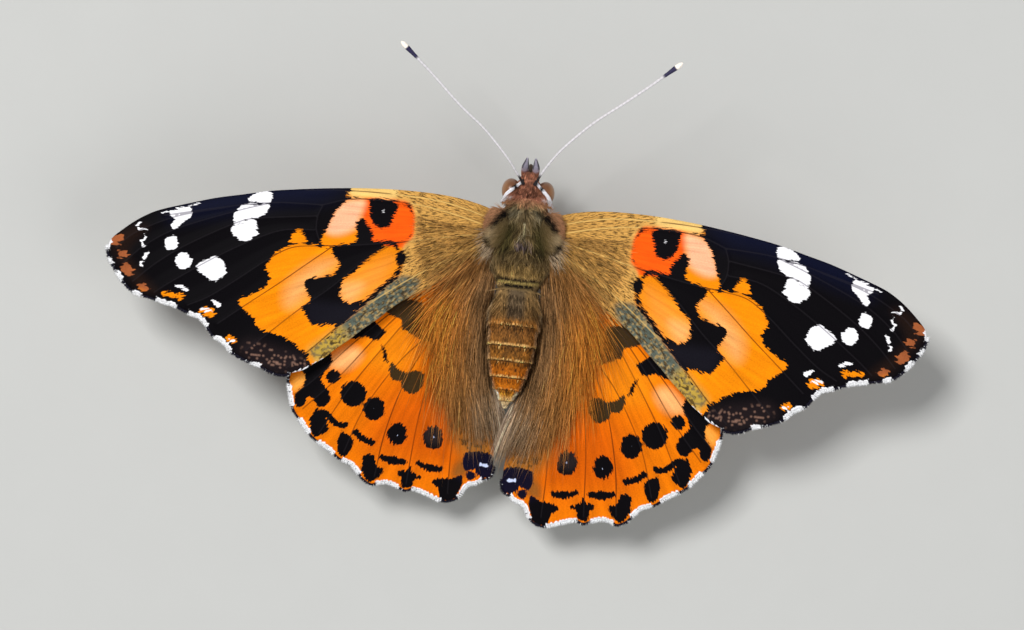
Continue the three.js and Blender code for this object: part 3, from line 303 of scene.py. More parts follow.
FORE_ROOT_TINTS = [
    ("586056", 0.3, [("blob", [(7.4, -3.9), (9.0, -3.8), (10.4, -5.1), (11.7, -6.6), (13.2, -8.4), (12.4, -9.4),
                               (10.4, -7.6), (8.2, -5.6)])]),
    ("b0903c", 0.5, [("blob", [(12.9, -8.2), (14.2, -9.2), (15.2, -10.3), (14.4, -11.0), (13.2, -10.2),
                               (12.3, -9.2)])]),
    ("eac070", 0.3, [("blob", [(10.0, 2.25), (11.8, 2.2), (13.2, 2.1), (13.4, 3.2), (10.0, 3.5)])]),
    ("b88844", 2.4, [("blob", [(1.0, 1.6), (3.2, 1.8), (4.4, 0.2), (4.4, -2.6), (1.0, -1.6)])]),
    ("9a5530", 0.5, [("blob", [(29.3, -2.6), (31.2, -2.8), (31.0, -4.6), (29.6, -6.4), (27.4, -7.4),
                               (27.2, -6.4), (28.8, -5.0)])]),
]
FORE_NIGHT_TINTS_AND_SHEEN = [
    # The navy near the costa is painted sheen: the wing's blue reflection painted into the dark ground's colour.
    ("080c24", 1.4, [("blob", [(14.0, 2.9), (15.5, 1.6), (19, 0.9), (24, -0.6), (26.5, -1.0), (24.5, 0.8),
                               (19, 2.4)])]),
    ("1c1416", 0.7, [("blob", [(14.8, -11.4), (15.8, -10.8), (19.5, -10.0), (20.2, -11.2), (17.2, -12.4)])]),
    ("1e110c", 0.6, [("blob", [(28.2, -2.0), (29.8, -2.4), (30.8, -3.6), (29.8, -5.2), (28.4, -6.8),
                               (27.0, -7.0), (28.9, -5.2), (29.4, -3.8)])]),
    ("121018", 0.6, [("blob", [(11.6, -6.6), (13.5, -6.4), (15.6, -6.6), (15.2, -8.2), (13.2, -8.1)])]),
]
HIND_TINTS = [
    ("cc5802", 2.4, [("blob", [(3.2, -12.0), (8.6, -12.6), (10.4, -16.6), (9.2, -18.3), (3.0, -18.6)])]),
    ("e6800a", 1.0, [("blob", [(6.4, -8.4), (9, -7.4), (11, -9), (10.6, -11), (7.5, -11.0)])]),
    ("f6ac68", 0.5, [("blob", [(11.15, -10.2), (11.85, -9.7), (12.85, -10.2), (13.65, -11.2),
                               (12.65, -11.6), (11.75, -11.2)])]),
    ("f0a040", 0.4, [("blob", [(14.95, -12.2), (15.45, -12.3), (16.2, -12.9), (15.95, -13.7),
                               (15.35, -13.2)])]),
    ("b06c24", 1.0, [("blob", [(0.3, -2), (4.6, -2.5), (5.4, -6.5), (4.2, -12.5), (3.2, -16.8),
                               (0.3, -17.2)])]),
    ("94551c", 0.4, [("blob", [(2.2, -17.6), (3.2, -18.0), (3.4, -19.1), (2.4, -18.9)])]),
]
HIND_NIGHT_TINTS = [
    ("3a2a14", 0.5, [("blob", [(5.9, -8.7), (6.2, -6.2), (7.2, -5.4), (9.4, -5.4), (9.7, -6.6), (8.4, -8.2)]),
                     ("blob", [(6.2, -11.2), (8.9, -10.4), (9.1, -11.9), (7.2, -13.1), (6.3, -12.6)])]),
    ("241c1c", 0.4, [("spot", (5.15, -15.9), (0.8, 0.9))]),
    ("0e0a1e", 0.5, [("blob", [(0.2, -17), (2.9, -17), (2.9, -19.2), (0.2, -19.2)])]),
]
# Single scales of another colour: the ground they lie on, the share of points, the colour, its
# weight, the softness of the edge, and where they are.
FORE_MOTTLES = [
    ("ground", 0.34, "b4945a", 0.75, 0.2, FORE_ROOT_TINTS[0][2]),
    ("ground", 0.42, "5a5444", 0.75, 0.2, FORE_ROOT_TINTS[1][2]),
    ("night", 0.13, "8a6858", 0.8, 0.4, FORE_NIGHT_TINTS_AND_SHEEN[1][2]),
]
# Where dark flecks lie over the coloured scales.
FORE_FLECKS = [("blob", [(1.2, -1.2), (1.2, 1.8), (2.4, 2.9), (6, 3.4), (10.2, 3.4), (10.0, 2.3), (8.9, 2.1),
                         (8.3, 1.2), (8.2, -0.4), (8.9, -1.4), (8.8, -3.0), (9.2, -4.1), (10.6, -5.6),
                         (12.6, -7.9), (14.4, -10.0), (14.4, -11.4), (12, -9.4), (8, -5.8), (4, -2.9)])]
HIND_FLECKS = [("blob", [(0.4, -2), (4.6, -1.5), (9.6, -4.5), (8.6, -6.6), (5.8, -8.5), (5.2, -12.5),
                         (3.2, -16.8), (0.4, -17.2)])]

# Markings of the body, for its skin, its fur and the shoulder lobes.
BODY_TINTS = [
    ("8a7450", 0.7, [("blob", [(-0.5, 2.9), (1.7, 2.4), (2.0, 1.6), (0.6, 1.3), (-0.5, 1.3)])]),
    ("807a64", 0.4, [("spot", (0.8, 2.25), (0.3, 0.2))]),
    ("4c4424", 0.5, [("blob", [(0.55, 1.7), (1.3, 1.5), (1.6, 0.2), (1.5, -0.7), (0.8, -0.5), (0.6, 0.6)])]),
    ("bba37c", 0.4, [("blob", [(2.0, 1.1), (2.9, 0.5), (2.9, -2.5), (2.2, -2.7), (2.2, -0.6)])]),
    ("7c6e80", 0.2, [("spot", (0.1, 0.12), (0.3, 0.22))]),
    ("a4844e", 0.4, [("blob", [(-0.5, -1.5), (1.3, -1.5), (1.5, -2.65), (-0.5, -2.7)])]),
    ("2a2216", 0.12, [("streak", [(0, 2.8), (0, 1.4)], 0.07), ("streak", [(0, -1.3), (1.3, -1.25)], 0.08),
                      ("streak", [(0, 0.5), (0.35, -0.25), (1.4, -0.6)], 0.1)]),
    ("d8c89c", 0.12, [("streak", [(0, 1.35), (0.02, 0.6)], 0.07)]),
    ("0e0a0a", 0.12, [("streak", [(0, -2.87), (1.6, -2.8)], 0.12), ("streak", [(0, -3.3), (1.0, -3.28)], 0.14)]),
    ("c2a860", 0.1, [("streak", [(0, -3.08), (1.5, -3.02)], 0.07)]),
    ("be8c66", 0.16, [("blob", [(-0.5, 2.85), (0.6, 2.87), (1.08, 2.8), (1.65, 2.0), (2.3, 1.25), (2.9, 0.5),
                                (3.4, 0.6), (3.3, 1.15), (2.6, 2.1), (1.95, 2.8), (1.5, 3.3), (0.9, 3.5),
                                (-0.5, 3.55)])]),
    ("b0745a", 0.12, [("blob", [(-0.5, 3.55), (1.5, 3.3), (1.4, 4.5), (0.7, 5.3), (-0.5, 5.3)])]),
    ("120c0c", 0.08, [("streak", [(1.5, 3.22), (1.4, 3.55)], 0.07), ("streak", [(1.15, 3.8), (0.92, 4.08)], 0.08)]),
    ("2c1812", 0.1, [("streak", [(0, 3.63), (0.95, 3.7)], 0.06), ("streak", [(0, 3.65), (0, 4.1)], 0.04)]),
    ("f0e8e4", 0.08, [("streak", [(1.1, 3.4), (1.38, 3.4)], 0.06)]),
    ("0e0a0b", 0.12, [("streak", [(1.6, 2.05), (2.1, 1.3)], 0.22), ("spot", (2.4, 0.0), (0.26, 0.3)),
                      ("spot", (2.3, -1.37), (0.22, 0.26))]),
]
BELLY_ALONG = [(-3.4, "96784c"), (-4.8, "906e42"), (-5.6, "8a6234"), (-6.1, "b0702c"), (-6.5, "8a5a2a"),
               (-8.9, "945e20"), (-9.5, "b06012"), (-11.0, "c46c10"), (-11.5, "dc9432"), (-12.0, "e4bc80"),
               (-12.5, "dcc090")]

BELLY_DOTS = [("spot", (0.0, -11.1), (0.13, 0.1)), ("spot", (0.5, -9.6), (0.1, 0.13))]

# The body's ends, which its map spans.
BODY_SPAN = (-12.62, 5.25)

# Patches over the body whose hairs lean alike, and whose hairs are as light as each other: their size
# across and along, the factors that number them, and how many numbers there are.
TUFT_PATCHES = ((0.32, 0.3), (37, 101), 997)
SPECK_PATCHES = ((0.13, 0.17), (57, 131), 991)

# How light single hairs are, with the share of hairs that each shade has.
FUR_SHADES = ((0.4, 0.75, 1.0, 1.3, 1.65), (0.14, 0.22, 0.3, 0.22, 0.12))
SPECK_SHADES = ((0.45, 0.8, 1.1, 1.55), (0.22, 0.28, 0.3, 0.2))
LONG_HAIR_SHADES = ((0.35, 0.7, 1.0, 1.4, 1.85), (0.18, 0.22, 0.25, 0.2, 0.15))

# The tongue's coil under the head: where it turns round, how far out it starts and ends, its turns,
# and where it joins the head.
TONGUE_CENTRE = (5.25, 5.15)
TONGUE_REACH = (0.3, 1.08)
TONGUE_TURNS = 1.3
TONGUE_ROOT = (0, 4.8, 6.48)

# The pale rim over the right eye, and the plan of the short scales inside it.
EYE_RIM_LINE = [(1.85, 2.85, 7.45), (1.74, 3.05, 7.95), (1.54, 3.52, 8.36), (1.1, 4.04, 8.45),
                (0.79, 4.31, 8.36), (0.6, 4.52, 8.3), (0.44, 4.72, 8.15)]
EYE_LASH_AREA = [(0.6, 2.9), (1.7, 2.9), (1.7, 3.1), (1.4, 3.52), (1.0, 3.98), (0.72, 4.22), (0.6, 4.3)]

# Long hair lies along these lines of flow: a root, a bend and a tip, for the inner and outer hair
# of each row.
HAIR_LOCKS = (9, 16)  # locks for each row and across it
HAIR_TINTS = [
    ("de8c34", 1.6, [("blob", [(4.6, -4.6), (9.0, -5.0), (9.0, -10.5), (6.2, -13.0), (4.4, -10.0)])]),
    ("967048", 0.7, [("blob", [(1.0, -2.0), (3.0, -3.2), (3.1, -7.5), (2.7, -11.0), (1.0, -12.6)])]),
    ("a48868", 0.9, [("blob", [(-0.6, -12.2), (2.2, -12.2), (2.6, -14.0), (1.6, -18.0), (-0.6, -18.0)])]),
    ("b8a088", 0.3, [("blob", [(-0.6, -12.3), (0.8, -12.3), (0.7, -15.0), (-0.6, -17.0)])]),
]
HAIR_ROWS = [
    (((2.0, -0.7), (2.5, -3.4), (2.9, -6.4)), ((4.2, -1.3), (6.2, -3.0), (8.0, -5.5))),
    (((1.75, -2.7), (2.05, -5.2), (2.4, -8.4)), ((4.6, -2.8), (6.4, -5.0), (7.8, -7.4))),
    (((1.95, -4.6), (2.25, -8.0), (2.1, -11.5)), ((6.3, -5.0), (7.6, -7.8), (8.2, -11.2))),
    (((1.9, -8.8), (1.35, -12.6), (0.6, -16.6)), ((5.8, -8.8), (6.1, -12.4), (5.6, -15.9))),
    (((0.9, -11.4), (0.3, -14.2), (0.0, -17.2)), ((3.8, -11.6), (2.9, -14.8), (1.8, -17.1))),
]


# Plan geometry.


def smooth_line(points, step=None, count=None, closed=False):
    """Evenly spaced points on a smooth line through the given ones."""
    p = np.asarray(points, float)
    if closed:
        p = np.vstack([p[-1:], p, p[:2]])
    else:
        p = np.vstack([2 * p[0] - p[1], p, 2 * p[-1] - p[-2]])
    t = np.linspace(0, 1, 13)[:-1, None]
    parts = []
    for i in range(1, len(p) - 2):
        a, b, c, d = p[i - 1:i + 3]
        parts.append(0.5 * (2 * b + (c - a) * t + (2 * a - 5 * b + 4 * c - d) * t ** 2
                            + (3 * b - a - 3 * c + d) * t ** 3))
    dense = np.vstack(parts + [p[-2:-1]])
    travelled = np.concatenate([[0], np.cumsum(np.linalg.norm(np.diff(dense, axis=0), axis=1))])
    count = count or max(2, round(travelled[-1] / step)) + 1
    at = np.linspace(0, travelled[-1], count)
    line = np.stack([np.interp(at, travelled, dense[:, k]) for k in range(dense.shape[1])], axis=1)
    return line[:-1] if closed else line


def line_distance(x, y, line, closed=False):
    """Distance from each plan point to a line through points."""
    nearest = np.full(x.shape, 1e9)
    starts = line if closed else line[:-1]
    ends = np.roll(line, -1, axis=0) if closed else line[1:]
    for (ax, ay), (bx, by) in zip(starts, ends):
        ux, uy = bx - ax, by - ay
        share = np.clip(((x - ax) * ux + (y - ay) * uy) / (ux * ux + uy * uy + 1e-12), 0, 1)
        nearest = np.minimum(nearest, (x - ax - share * ux) ** 2 + (y - ay - share * uy) ** 2)
    return np.sqrt(nearest)


def inside(x, y, outline):
    """Whether each plan point lies inside a closed outline."""
    odd = np.zeros(x.shape, bool)
    for (ax, ay), (bx, by) in zip(outline, np.roll(outline, -1, axis=0)):
        if ay != by:
            odd ^= ((ay > y) != (by > y)) & (x < ax + (y - ay) * (bx - ax) / (by - ay))
    return odd


def outline_depth(x, y, outline):
    """Distance in from a closed outline, negative outside it."""
    return np.where(inside(x, y, outline), 1, -1) * line_distance(x, y, outline, closed=True)


def mark_depth(x, y, marks, reach=1.2):
    """How deep each plan point lies in the nearest of some marks, down to -reach outside them."""
    depth = np.full(x.shape, -float(reach))
    for kind, first, *rest in marks:
        if kind == "spot":
            low, high = np.subtract(first, rest[0]), np.add(first, rest[0])
        else:
            swell = rest[0] if kind == "streak" else 0
            low, high = np.min(first, axis=0) - swell, np.max(first, axis=0) + swell
        near = ((x > low[0] - reach) & (x < high[0] + reach) & (y > low[1] - reach) & (y < high[1] + reach))
        if not near.any():
            continue
        px, py = x[near], y[near]
        if kind == "spot":
            (cx, cy), (rx, ry) = first, rest[0]
            made = (1 - np.hypot((px - cx) / rx, (py - cy) / ry)) * min(rx, ry)
        elif kind == "streak":
            made = rest[0] - line_distance(px, py, smooth_line(first, count=9))
        else:
            made = outline_depth(px, py, smooth_line(first, step=0.25, closed=True))
        depth[near] = np.maximum(depth[near], made)
    return depth


def ease(share):
    share = np.clip(share, 0, 1)
    return share * share * (3 - 2 * share)


def compass(angles):
    """Plan directions of angles."""
    return np.stack([np.cos(angles), np.sin(angles)], axis=-1)


def unit(vectors):
    """Vectors made one long."""
    return vectors / (np.linalg.norm(vectors, axis=-1, keepdims=True) + TINY)


def along_surface(headings, out):
    """The part of each heading that lies square to the way out of a surface, made one long."""
    return unit(headings - out * (headings * out).sum(axis=1, keepdims=True))


def mixed(first, second, shares):
    """Blends of two colours, each a code or an array, by shares from 0 to 1."""
    first, second = (paint(c) if isinstance(c, str) else np.asarray(c) for c in (first, second))
    return first + (second - first) * np.asarray(shares)[:, None]


def tinted(base, x, y, tints):
    """Colours of plan points: a base colour with softly edged areas over it."""
    colours = np.broadcast_to(base, (len(x), 3))
    for code, softness, marks in tints:
        colours = mixed(colours, code, ease(mark_depth(x, y, marks, softness) / softness * 0.5 + 0.5))
    return colours


# Surfaces that the pieces follow.


def abdomen_middle(y):
    front, tip = ABDOMEN_BORDERS[0], ABDOMEN_BORDERS[-1]
    return ABDOMEN_MID_HEIGHT[0] + (ABDOMEN_MID_HEIGHT[1] - ABDOMEN_MID_HEIGHT[0]) * (y - front) / (tip - front)


def abdomen_half(y):
    table = np.array(ABDOMEN_HALF)[::-1]
    return np.interp(y, table[:, 0], table[:, 1])


def fore_height(x, y, pitch):
    span, behind = x - 1.5, CHORD_LINE_Y - y
    arch = 0.13 * span - 0.0046 * span ** 2
    return FORE_ROOT_HEIGHT + arch - pitch * behind - 0.004 * behind ** 2 - 0.03 * np.maximum(0, y) ** 2


def hind_height(x, y, pitch):
    opened = fore_height(x, y, pitch) - WING_APART - 0.0035 * np.maximum(0, -y - 9) ** 2
    radius = abdomen_half(y) + RING_FLARE + SOLID_WING_HALF + GAP
    leaves, opens = (share * radius for share in TUCK_SHARES)
    across = np.minimum(x, leaves)
    turned = abdomen_middle(y) - ABDOMEN_FLATNESS * np.sqrt(radius ** 2 - across ** 2)
    tucked = turned + (opened - turned) * ease((x - leaves) / (opens - leaves))
    front = ease((TUCK_FRONT[0] - y) / (TUCK_FRONT[0] - TUCK_FRONT[1]))
    rear = 1 - ease((TUCK_REAR[0] - y) / (TUCK_REAR[0] - TUCK_REAR[1]))
    return opened + (tucked - opened) * front * rear


class Wing(NamedTuple):
    """What one kind of wing is made from."""

    height: Callable
    outline: list
    veins: list
    margin_ends: tuple
    middle: tuple
    root: tuple


WINGS = {
    "forewing": Wing(fore_height, FORE_OUTLINE, FORE_VEINS, FORE_MARGIN_ENDS, (10.0, -5.0), (1.2, 1.2)),
    "hindwing": Wing(hind_height, HIND_OUTLINE, HIND_VEINS, HIND_MARGIN_ENDS, (6.0, -9.0), (1.6, 1.5)),
}


def chorded(y, side):
    """A plan y of the pattern, at its place on that side's wings."""
    return CHORD_LINE_Y + (y - CHORD_LINE_Y) * SIDES[side][1]


def white_depth(x, y, kind):
    """How deep each plan point lies in the white arcs of a wing's margin."""
    return np.max([half - np.hypot(x - cx, y - cy) for (cx, cy), half in FRINGE_WHITES[kind]], axis=0)


def on_wing(x, y, side, height, relief=0.0):
    """Points on a wing's middle surface, raised along its normal, for pattern points x and y."""
    sign, _, pitch = SIDES[side]
    y = chorded(np.asarray(y, float), side)
    x, h = np.asarray(x, float), 0.01
    slope_x = (height(x + h, y, pitch) - height(x - h, y, pitch)) / (2 * h)
    slope_y = (height(x, y + h, pitch) - height(x, y - h, pitch)) / (2 * h)
    normal = unit(np.stack([-slope_x, -slope_y, np.ones_like(slope_x)], axis=1))
    points = np.stack([x, y, height(x, y, pitch)], axis=1) + normal * np.reshape(relief, (-1, 1))
    points[:, 0] *= sign
    normal[:, 0] *= sign
    return points, normal


def body_profile(y):
    """Half width, half height and middle height of the body's skin at places along it."""
    front = smooth_line(FRONT_SECTIONS, step=0.05)[::-1]
    half, high, middle = (np.interp(y, front[:, 0], front[:, k]) for k in (1, 2, 3))
    waist = ABDOMEN_BORDERS[0] + 0.15
    share = ring_share(y)
    rim = RIM_SHARE * RING_FLARE * (ease((share - 0.5) / 0.42) - 0.6 * ease((0.12 - share) / 0.12))
    belly = abdomen_half(y) + np.where(y < ABDOMEN_BORDERS[-2], 0, rim)
    blend = ease((waist - y) / 0.5)
    half = half + (belly - half) * blend
    high = high + (belly * ABDOMEN_FLATNESS - high) * blend
    middle = middle + (abdomen_middle(y) - middle) * blend
    thorax, abdomen = SKIN_DEPTH
    depth = np.where(y < waist, abdomen, np.where(y > NECK_Y, thorax / 2, thorax))
    depth = np.minimum(depth, half * 0.5)
    return half - depth, high - depth, middle


def ring_share(y):
    """How far each place lies along its own ring of the abdomen, from 0 in front to 1 at its rim."""
    borders = np.array(ABDOMEN_BORDERS)
    which = np.clip(np.searchsorted(-borders, -np.asarray(y, float), side="right") - 1, 0, len(borders) - 2)
    return np.clip((borders[which] - y) / (borders[which] - borders[which + 1]), 0, 1)


# Meshes.

HAIR_TAPER = (0.7, 1.0, 0.8, 0.5)  # shares of a hair's width, from its root to near its tip
# Painted shade and highlight along each hair: darker at the root, deep in the coat's shade, and lighter towards the
# tip.
HAIR_ROOT_SHADE_TIP_LIGHT = (0.72, 1.08, 1.15)  # how light it is at its root, at its last ring and at its tip
MAP_SPAN = (0.02, 0.98)  # what tubes and egg shapes take of the map, both ways
HAIR_PATCH = 0.0015  # the half size of its patch on the map


class Shape:
    """Points, faces and painted values of a piece, gathered part by part in plan millimetres."""

    def __init__(self):
        self.points, self.faces, self.maps, self.finishes, self.values = [], [], [], [], {}
        self.count = 0

    def add(self, points, faces, maps, **values):
        """Adds points, with a list of face arrays, each with the map places of its corners."""
        for corners, places in zip(faces, maps):
            self.cover(corners + self.count, places)
        self.points.append(points)
        for name, value in values.items():
            self.values.setdefault(name, []).append(value)
        self.count += len(points)

    def cover(self, corners, places, finish=0):
        """Adds faces over points that are already there."""
        self.faces.append(corners)
        self.maps.append(places.reshape(-1, 2))
        self.finishes.append(np.full(len(corners), finish))

    def bar(self, line, radii, sides, tones, flatness=1.0, floor=None):
        """Adds a closed round bar along a line, with a radius and a colour at each of its points."""
        faces, maps = ring_faces(len(line), sides)
        coat = np.vstack([np.repeat(tones, sides, axis=0), tones[:1], tones[-1:]])
        self.add(tube(line, radii, sides, flatness, floor), faces, maps, coat=coat)

    def hairs(self, paths, widths, roots, colours, flatness=0.5):
        """Adds closed tapered hairs along paths, each with a colour and a place on the map."""
        points, faces, maps, tones = strands(paths, widths, roots, np.clip(colours, 0, 1), flatness)
        self.add(points, faces, maps, coat=tones)

    def piece(self, name, finishes, slot, stands_for=()):
        """Makes the Blender object, in metres and in the frame's place."""
        points = (np.vstack(self.points) + (0, PLAN_SHIFT_Y, 0)) * MM
        mesh = bpy.data.meshes.new(name)
        mesh.vertices.add(len(points))
        mesh.vertices.foreach_set("co", points.astype(np.float32).ravel())
        sizes = np.concatenate([np.full(len(f), f.shape[1]) for f in self.faces])
        mesh.loops.add(int(sizes.sum()))
        mesh.loops.foreach_set("vertex_index", np.concatenate([f.ravel() for f in self.faces]).astype(np.int32))
        mesh.polygons.add(len(sizes))
        mesh.polygons.foreach_set("loop_start", np.concatenate([[0], np.cumsum(sizes)[:-1]]).astype(np.int32))
        mesh.polygons.foreach_set("material_index", np.concatenate(self.finishes).astype(np.int32))
        mesh.polygons.foreach_set("use_smooth", np.ones(len(sizes), bool))
        layer = mesh.uv_layers.new(name="OFBake")
        layer.uv.foreach_set("vector", np.vstack(self.maps).astype(np.float32).ravel())
        for value_name, parts in self.values.items():
            if parts[0].ndim == 2:
                colours = np.vstack(parts)
                colours = np.hstack([colours, np.ones((len(colours), 1))])
                made = mesh.attributes.new(value_name, "FLOAT_COLOR", "POINT")
                made.data.foreach_set("color", colours.astype(np.float32).ravel())
            else:
                made = mesh.attributes.new(value_name, "FLOAT", "POINT")
                made.data.foreach_set("value", np.concatenate(parts).astype(np.float32))
        mesh.update(calc_edges=True)
        for finish in finishes:
            mesh.materials.append(finish)
        piece = bpy.data.objects.new(name, mesh)
        bpy.context.scene.collection.objects.link(piece)
        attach(piece, "root")
        if stands_for:
            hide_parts(*stands_for)


def ring_faces(rings, sides):
    """Faces between closed rings of points and over both ends, with their places on the map."""
    low, high = MAP_SPAN
    size = high - low
    margin = size * 0.03
    at = lambda c, r: np.stack([low + size * c / sides,
                                low + margin + (size - 2 * margin) * r / (rings - 1)], axis=-1)
    r, c = (k.ravel() for k in np.meshgrid(np.arange(rings - 1), np.arange(sides), indexing="ij"))
    after = (c + 1) % sides
    quads = np.stack([r * sides + c, r * sides + after, (r + 1) * sides + after, (r + 1) * sides + c], axis=1)
    places = np.stack([at(c, r), at(c + 1, r), at(c + 1, r + 1), at(c, r + 1)], axis=1)
    k = np.arange(sides)
    caps, cap_places = [], []
    for point, row, edge, (one, two) in ((rings * sides, 0, low, (k + 1, k)),
                                         (rings * sides + 1, rings - 1, high, (k, k + 1))):
        caps.append(np.stack([np.full(sides, point), row * sides + one % sides, row * sides + two % sides], axis=1))
        middle = np.stack([low + size * (k + 0.5) / sides, np.full(sides, edge)], axis=1)
        cap_places.append(np.stack([middle, at(one, np.full(sides, row)), at(two, np.full(sides, row))], axis=1))
    return [quads, np.concatenate(caps)], [places, np.concatenate(cap_places)]


def along_frames(line):
    """The direction along a line at each of its points, and two directions square to it."""
    along = unit(np.gradient(line, axis=0))
    side = np.zeros_like(line)
    side[0] = unit(np.cross(along[0], (0, 0, 1) if abs(along[0][2]) < 0.9 else (0, 1, 0)))
    for k in range(1, len(line)):
        side[k] = unit(side[k - 1] - along[k] * (side[k - 1] @ along[k]))
    return along, side, np.cross(along, side)


def tube(line, radii, sides, flatness, floor):
    """A closed round bar along a line, with a radius at each point."""
    _, side, up = along_frames(line)
    turn = np.linspace(0, 2 * np.pi, sides, endpoint=False)
    radii = np.asarray(radii, float)[:, None, None]
    rings = line[:, None] + radii * (np.cos(turn)[None, :, None] * side[:, None]
                                     + flatness * np.sin(turn)[None, :, None] * up[:, None])
    points = np.vstack([rings.reshape(-1, 3), line[:1], line[-1:]])
    if floor is not None:
        points[:, 2] = np.maximum(points[:, 2], floor)
    return points


def strands(paths, widths, roots, colours, flatness):
    """Closed three-sided hairs along an array of paths, each with a patch of the map at its root's place."""
    count, stations, _ = paths.shape
    along = unit(np.gradient(paths, axis=1))
    side = np.cross(along, (0.0, 0.0, 1.0))
    side[np.linalg.norm(side, axis=2) < 0.05] = (1, 0, 0)
    side = unit(side)
    up = np.cross(side, along)
    rings = stations - 1
    taper = np.interp(np.linspace(0, 1, rings), np.linspace(0, 1, len(HAIR_TAPER)), HAIR_TAPER)
    turn = 2 * np.pi * np.arange(3) / 3 + np.pi / 2
    reach = (np.broadcast_to(widths, count)[:, None] * 0.5 * taper)[:, :, None, None]
    body = paths[:, :rings, None] + reach * (np.cos(turn)[None, None, :, None] * side[:, :rings, None]
                                             + flatness * np.sin(turn)[None, None, :, None] * up[:, :rings, None])
    points = np.concatenate([body.reshape(count, rings * 3, 3), paths[:, -1:]], axis=1).reshape(-1, 3)
    after = (1, 2, 0)
    last = (rings - 1) * 3
    quads = [(k + j, k + after[j], k + 3 + after[j], k + 3 + j) for k in range(0, last, 3) for j in range(3)]
    ends = [(last + j, last + after[j], last + 3) for j in range(3)] + [(2, 1, 0)]
    patch = HAIR_PATCH * (1 - 0.8 * np.arange(rings) / rings)[:, None, None] * compass(turn)
    spread = np.vstack([patch.reshape(-1, 2), (0, 0)])
    start = (np.arange(count) * (last + 4))[:, None, None]
    faces, maps = [], []
    for pattern in (np.array(quads), np.array(ends)):
        faces.append((start + pattern).reshape(-1, pattern.shape[1]))
        maps.append(roots[:, None, None] + spread[pattern])
    # Painted shade at the root and painted highlight at the tip of each hair.
    shade = np.concatenate([np.repeat(np.linspace(*HAIR_ROOT_SHADE_TIP_LIGHT[:2], rings), 3), HAIR_ROOT_SHADE_TIP_LIGHT[2:]])
    tones = (colours[:, None] * shade[:, None]).reshape(-1, 3)
    return points, faces, maps, tones


def bent_paths(starts, directions, lifts, lengths, stations=5, droop=0.5):
    """Hair paths that leave a surface along a direction and bend down towards it."""
    share = np.linspace(0, 1, stations)[None, :, None]
    rise = share - droop * share ** 2
    return starts[:, None] + directions[:, None] * (share * lengths[:, None, None]) \
        + lifts[:, None] * (rise * lengths[:, None, None])


# Finishes.


class Field:
    """A value that changes over a surface. Sums written with it add the nodes that work them out."""

    def __init__(self, finish, socket):
        self.finish, self.socket = finish, socket

    def sum_node(self, operation, first, second):
        return self.finish.node("Math", {"operation": operation}, {0: first, 1: second})

    def __add__(self, other):
        return self.sum_node("ADD", self, other)

    def __sub__(self, other):
        return self.sum_node("SUBTRACT", self, other)

    def __rsub__(self, other):
        return self.sum_node("SUBTRACT", other, self)

    def __mul__(self, other):
        return self.sum_node("MULTIPLY", self, other)

    def __truediv__(self, other):
        return self.sum_node("DIVIDE", self, other)

    __radd__, __rmul__ = __add__, __mul__

    def over(self, level, width):
        """1 where the value is above a level and 0 below it, with an edge of the given width."""
        return self.finish.node("Clamp", {}, {"Value": (self - level) / width + 0.5})


class Finish:
    """A material, built from its node tree. Sizes in it are in millimetres."""

    def __init__(self, name):
        self.material = bpy.data.materials.new(name)
        self.material.use_nodes = True
        self.tree = self.material.node_tree
        self.shader = self.tree.nodes["Principled BSDF"]

    def node(self, kind, settings, inputs, output=0):
        """Adds a node: its settings first, then values or links for its sockets."""
        made = self.tree.nodes.new("ShaderNode" + kind)
        for name, value in settings.items():
            setattr(made, name, value)
        for name, value in inputs.items():
            self.feed(made.inputs[name], value)
        return Field(self, made.outputs[output])

    def feed(self, socket, value):
        if isinstance(value, Field):
            self.tree.links.new(value.socket, socket)
        else:
            socket.default_value = value

    def amount(self, name):
        """A number painted on the piece's points."""
        return self.node("Attribute", {"attribute_name": name}, {}, "Fac")

    def colour(self, name):
        """A colour painted on the piece's points."""
        return self.node("Attribute", {"attribute_name": name}, {}, "Color")

    def blend(self, first, second, share):
        """A mix of two colours, each a code, a setting or a field."""
        inputs = {0: share, 6: first, 7: second}
        for slot in (6, 7):
            if isinstance(inputs[slot], str):
                inputs[slot] = paint(inputs[slot])
            if not isinstance(inputs[slot], Field):
                inputs[slot] = (*inputs[slot], 1.0)
        return self.node("Mix", {"data_type": "RGBA"}, inputs, 2)

    def shaded(self, colour, amount):
        """A colour made lighter or darker by an amount about 1."""
        return self.node("VectorMath", {"operation": "MULTIPLY"}, {0: colour, 1: self.place(amount, amount, amount)})

    def place(self, *parts):
        return self.node("CombineXYZ", {}, dict(enumerate(parts)))

    def place_in_room(self, size):
        """The place in the room, in steps of a size."""
        where = self.node("TexCoord", {}, {}, "Object")
        return self.node("VectorMath", {"operation": "SCALE"}, {0: where, "Scale": 1 / (size * MM)})

    def speckle(self, place, detail=2.0, roughness=0.55):
        return self.node("TexNoise", {}, {"Vector": place, "Scale": 1.0, "Detail": detail, "Roughness": roughness})

    def cell_edges(self, place):
        return self.node("TexVoronoi", {"feature": "DISTANCE_TO_EDGE"}, {"Vector": place, "Scale": 1.0})

    def relief(self, height, depth, strength):
        """A bump of a depth."""
        bump = self.node("Bump", {}, {"Strength": strength, "Distance": depth * MM, "Height": height})
        self.feed(self.shader.inputs["Normal"], bump)

    def done(self, **sockets):
        for name, value in sockets.items():
            self.feed(self.shader.inputs[name.replace("_", " ")], value)
        return self.material


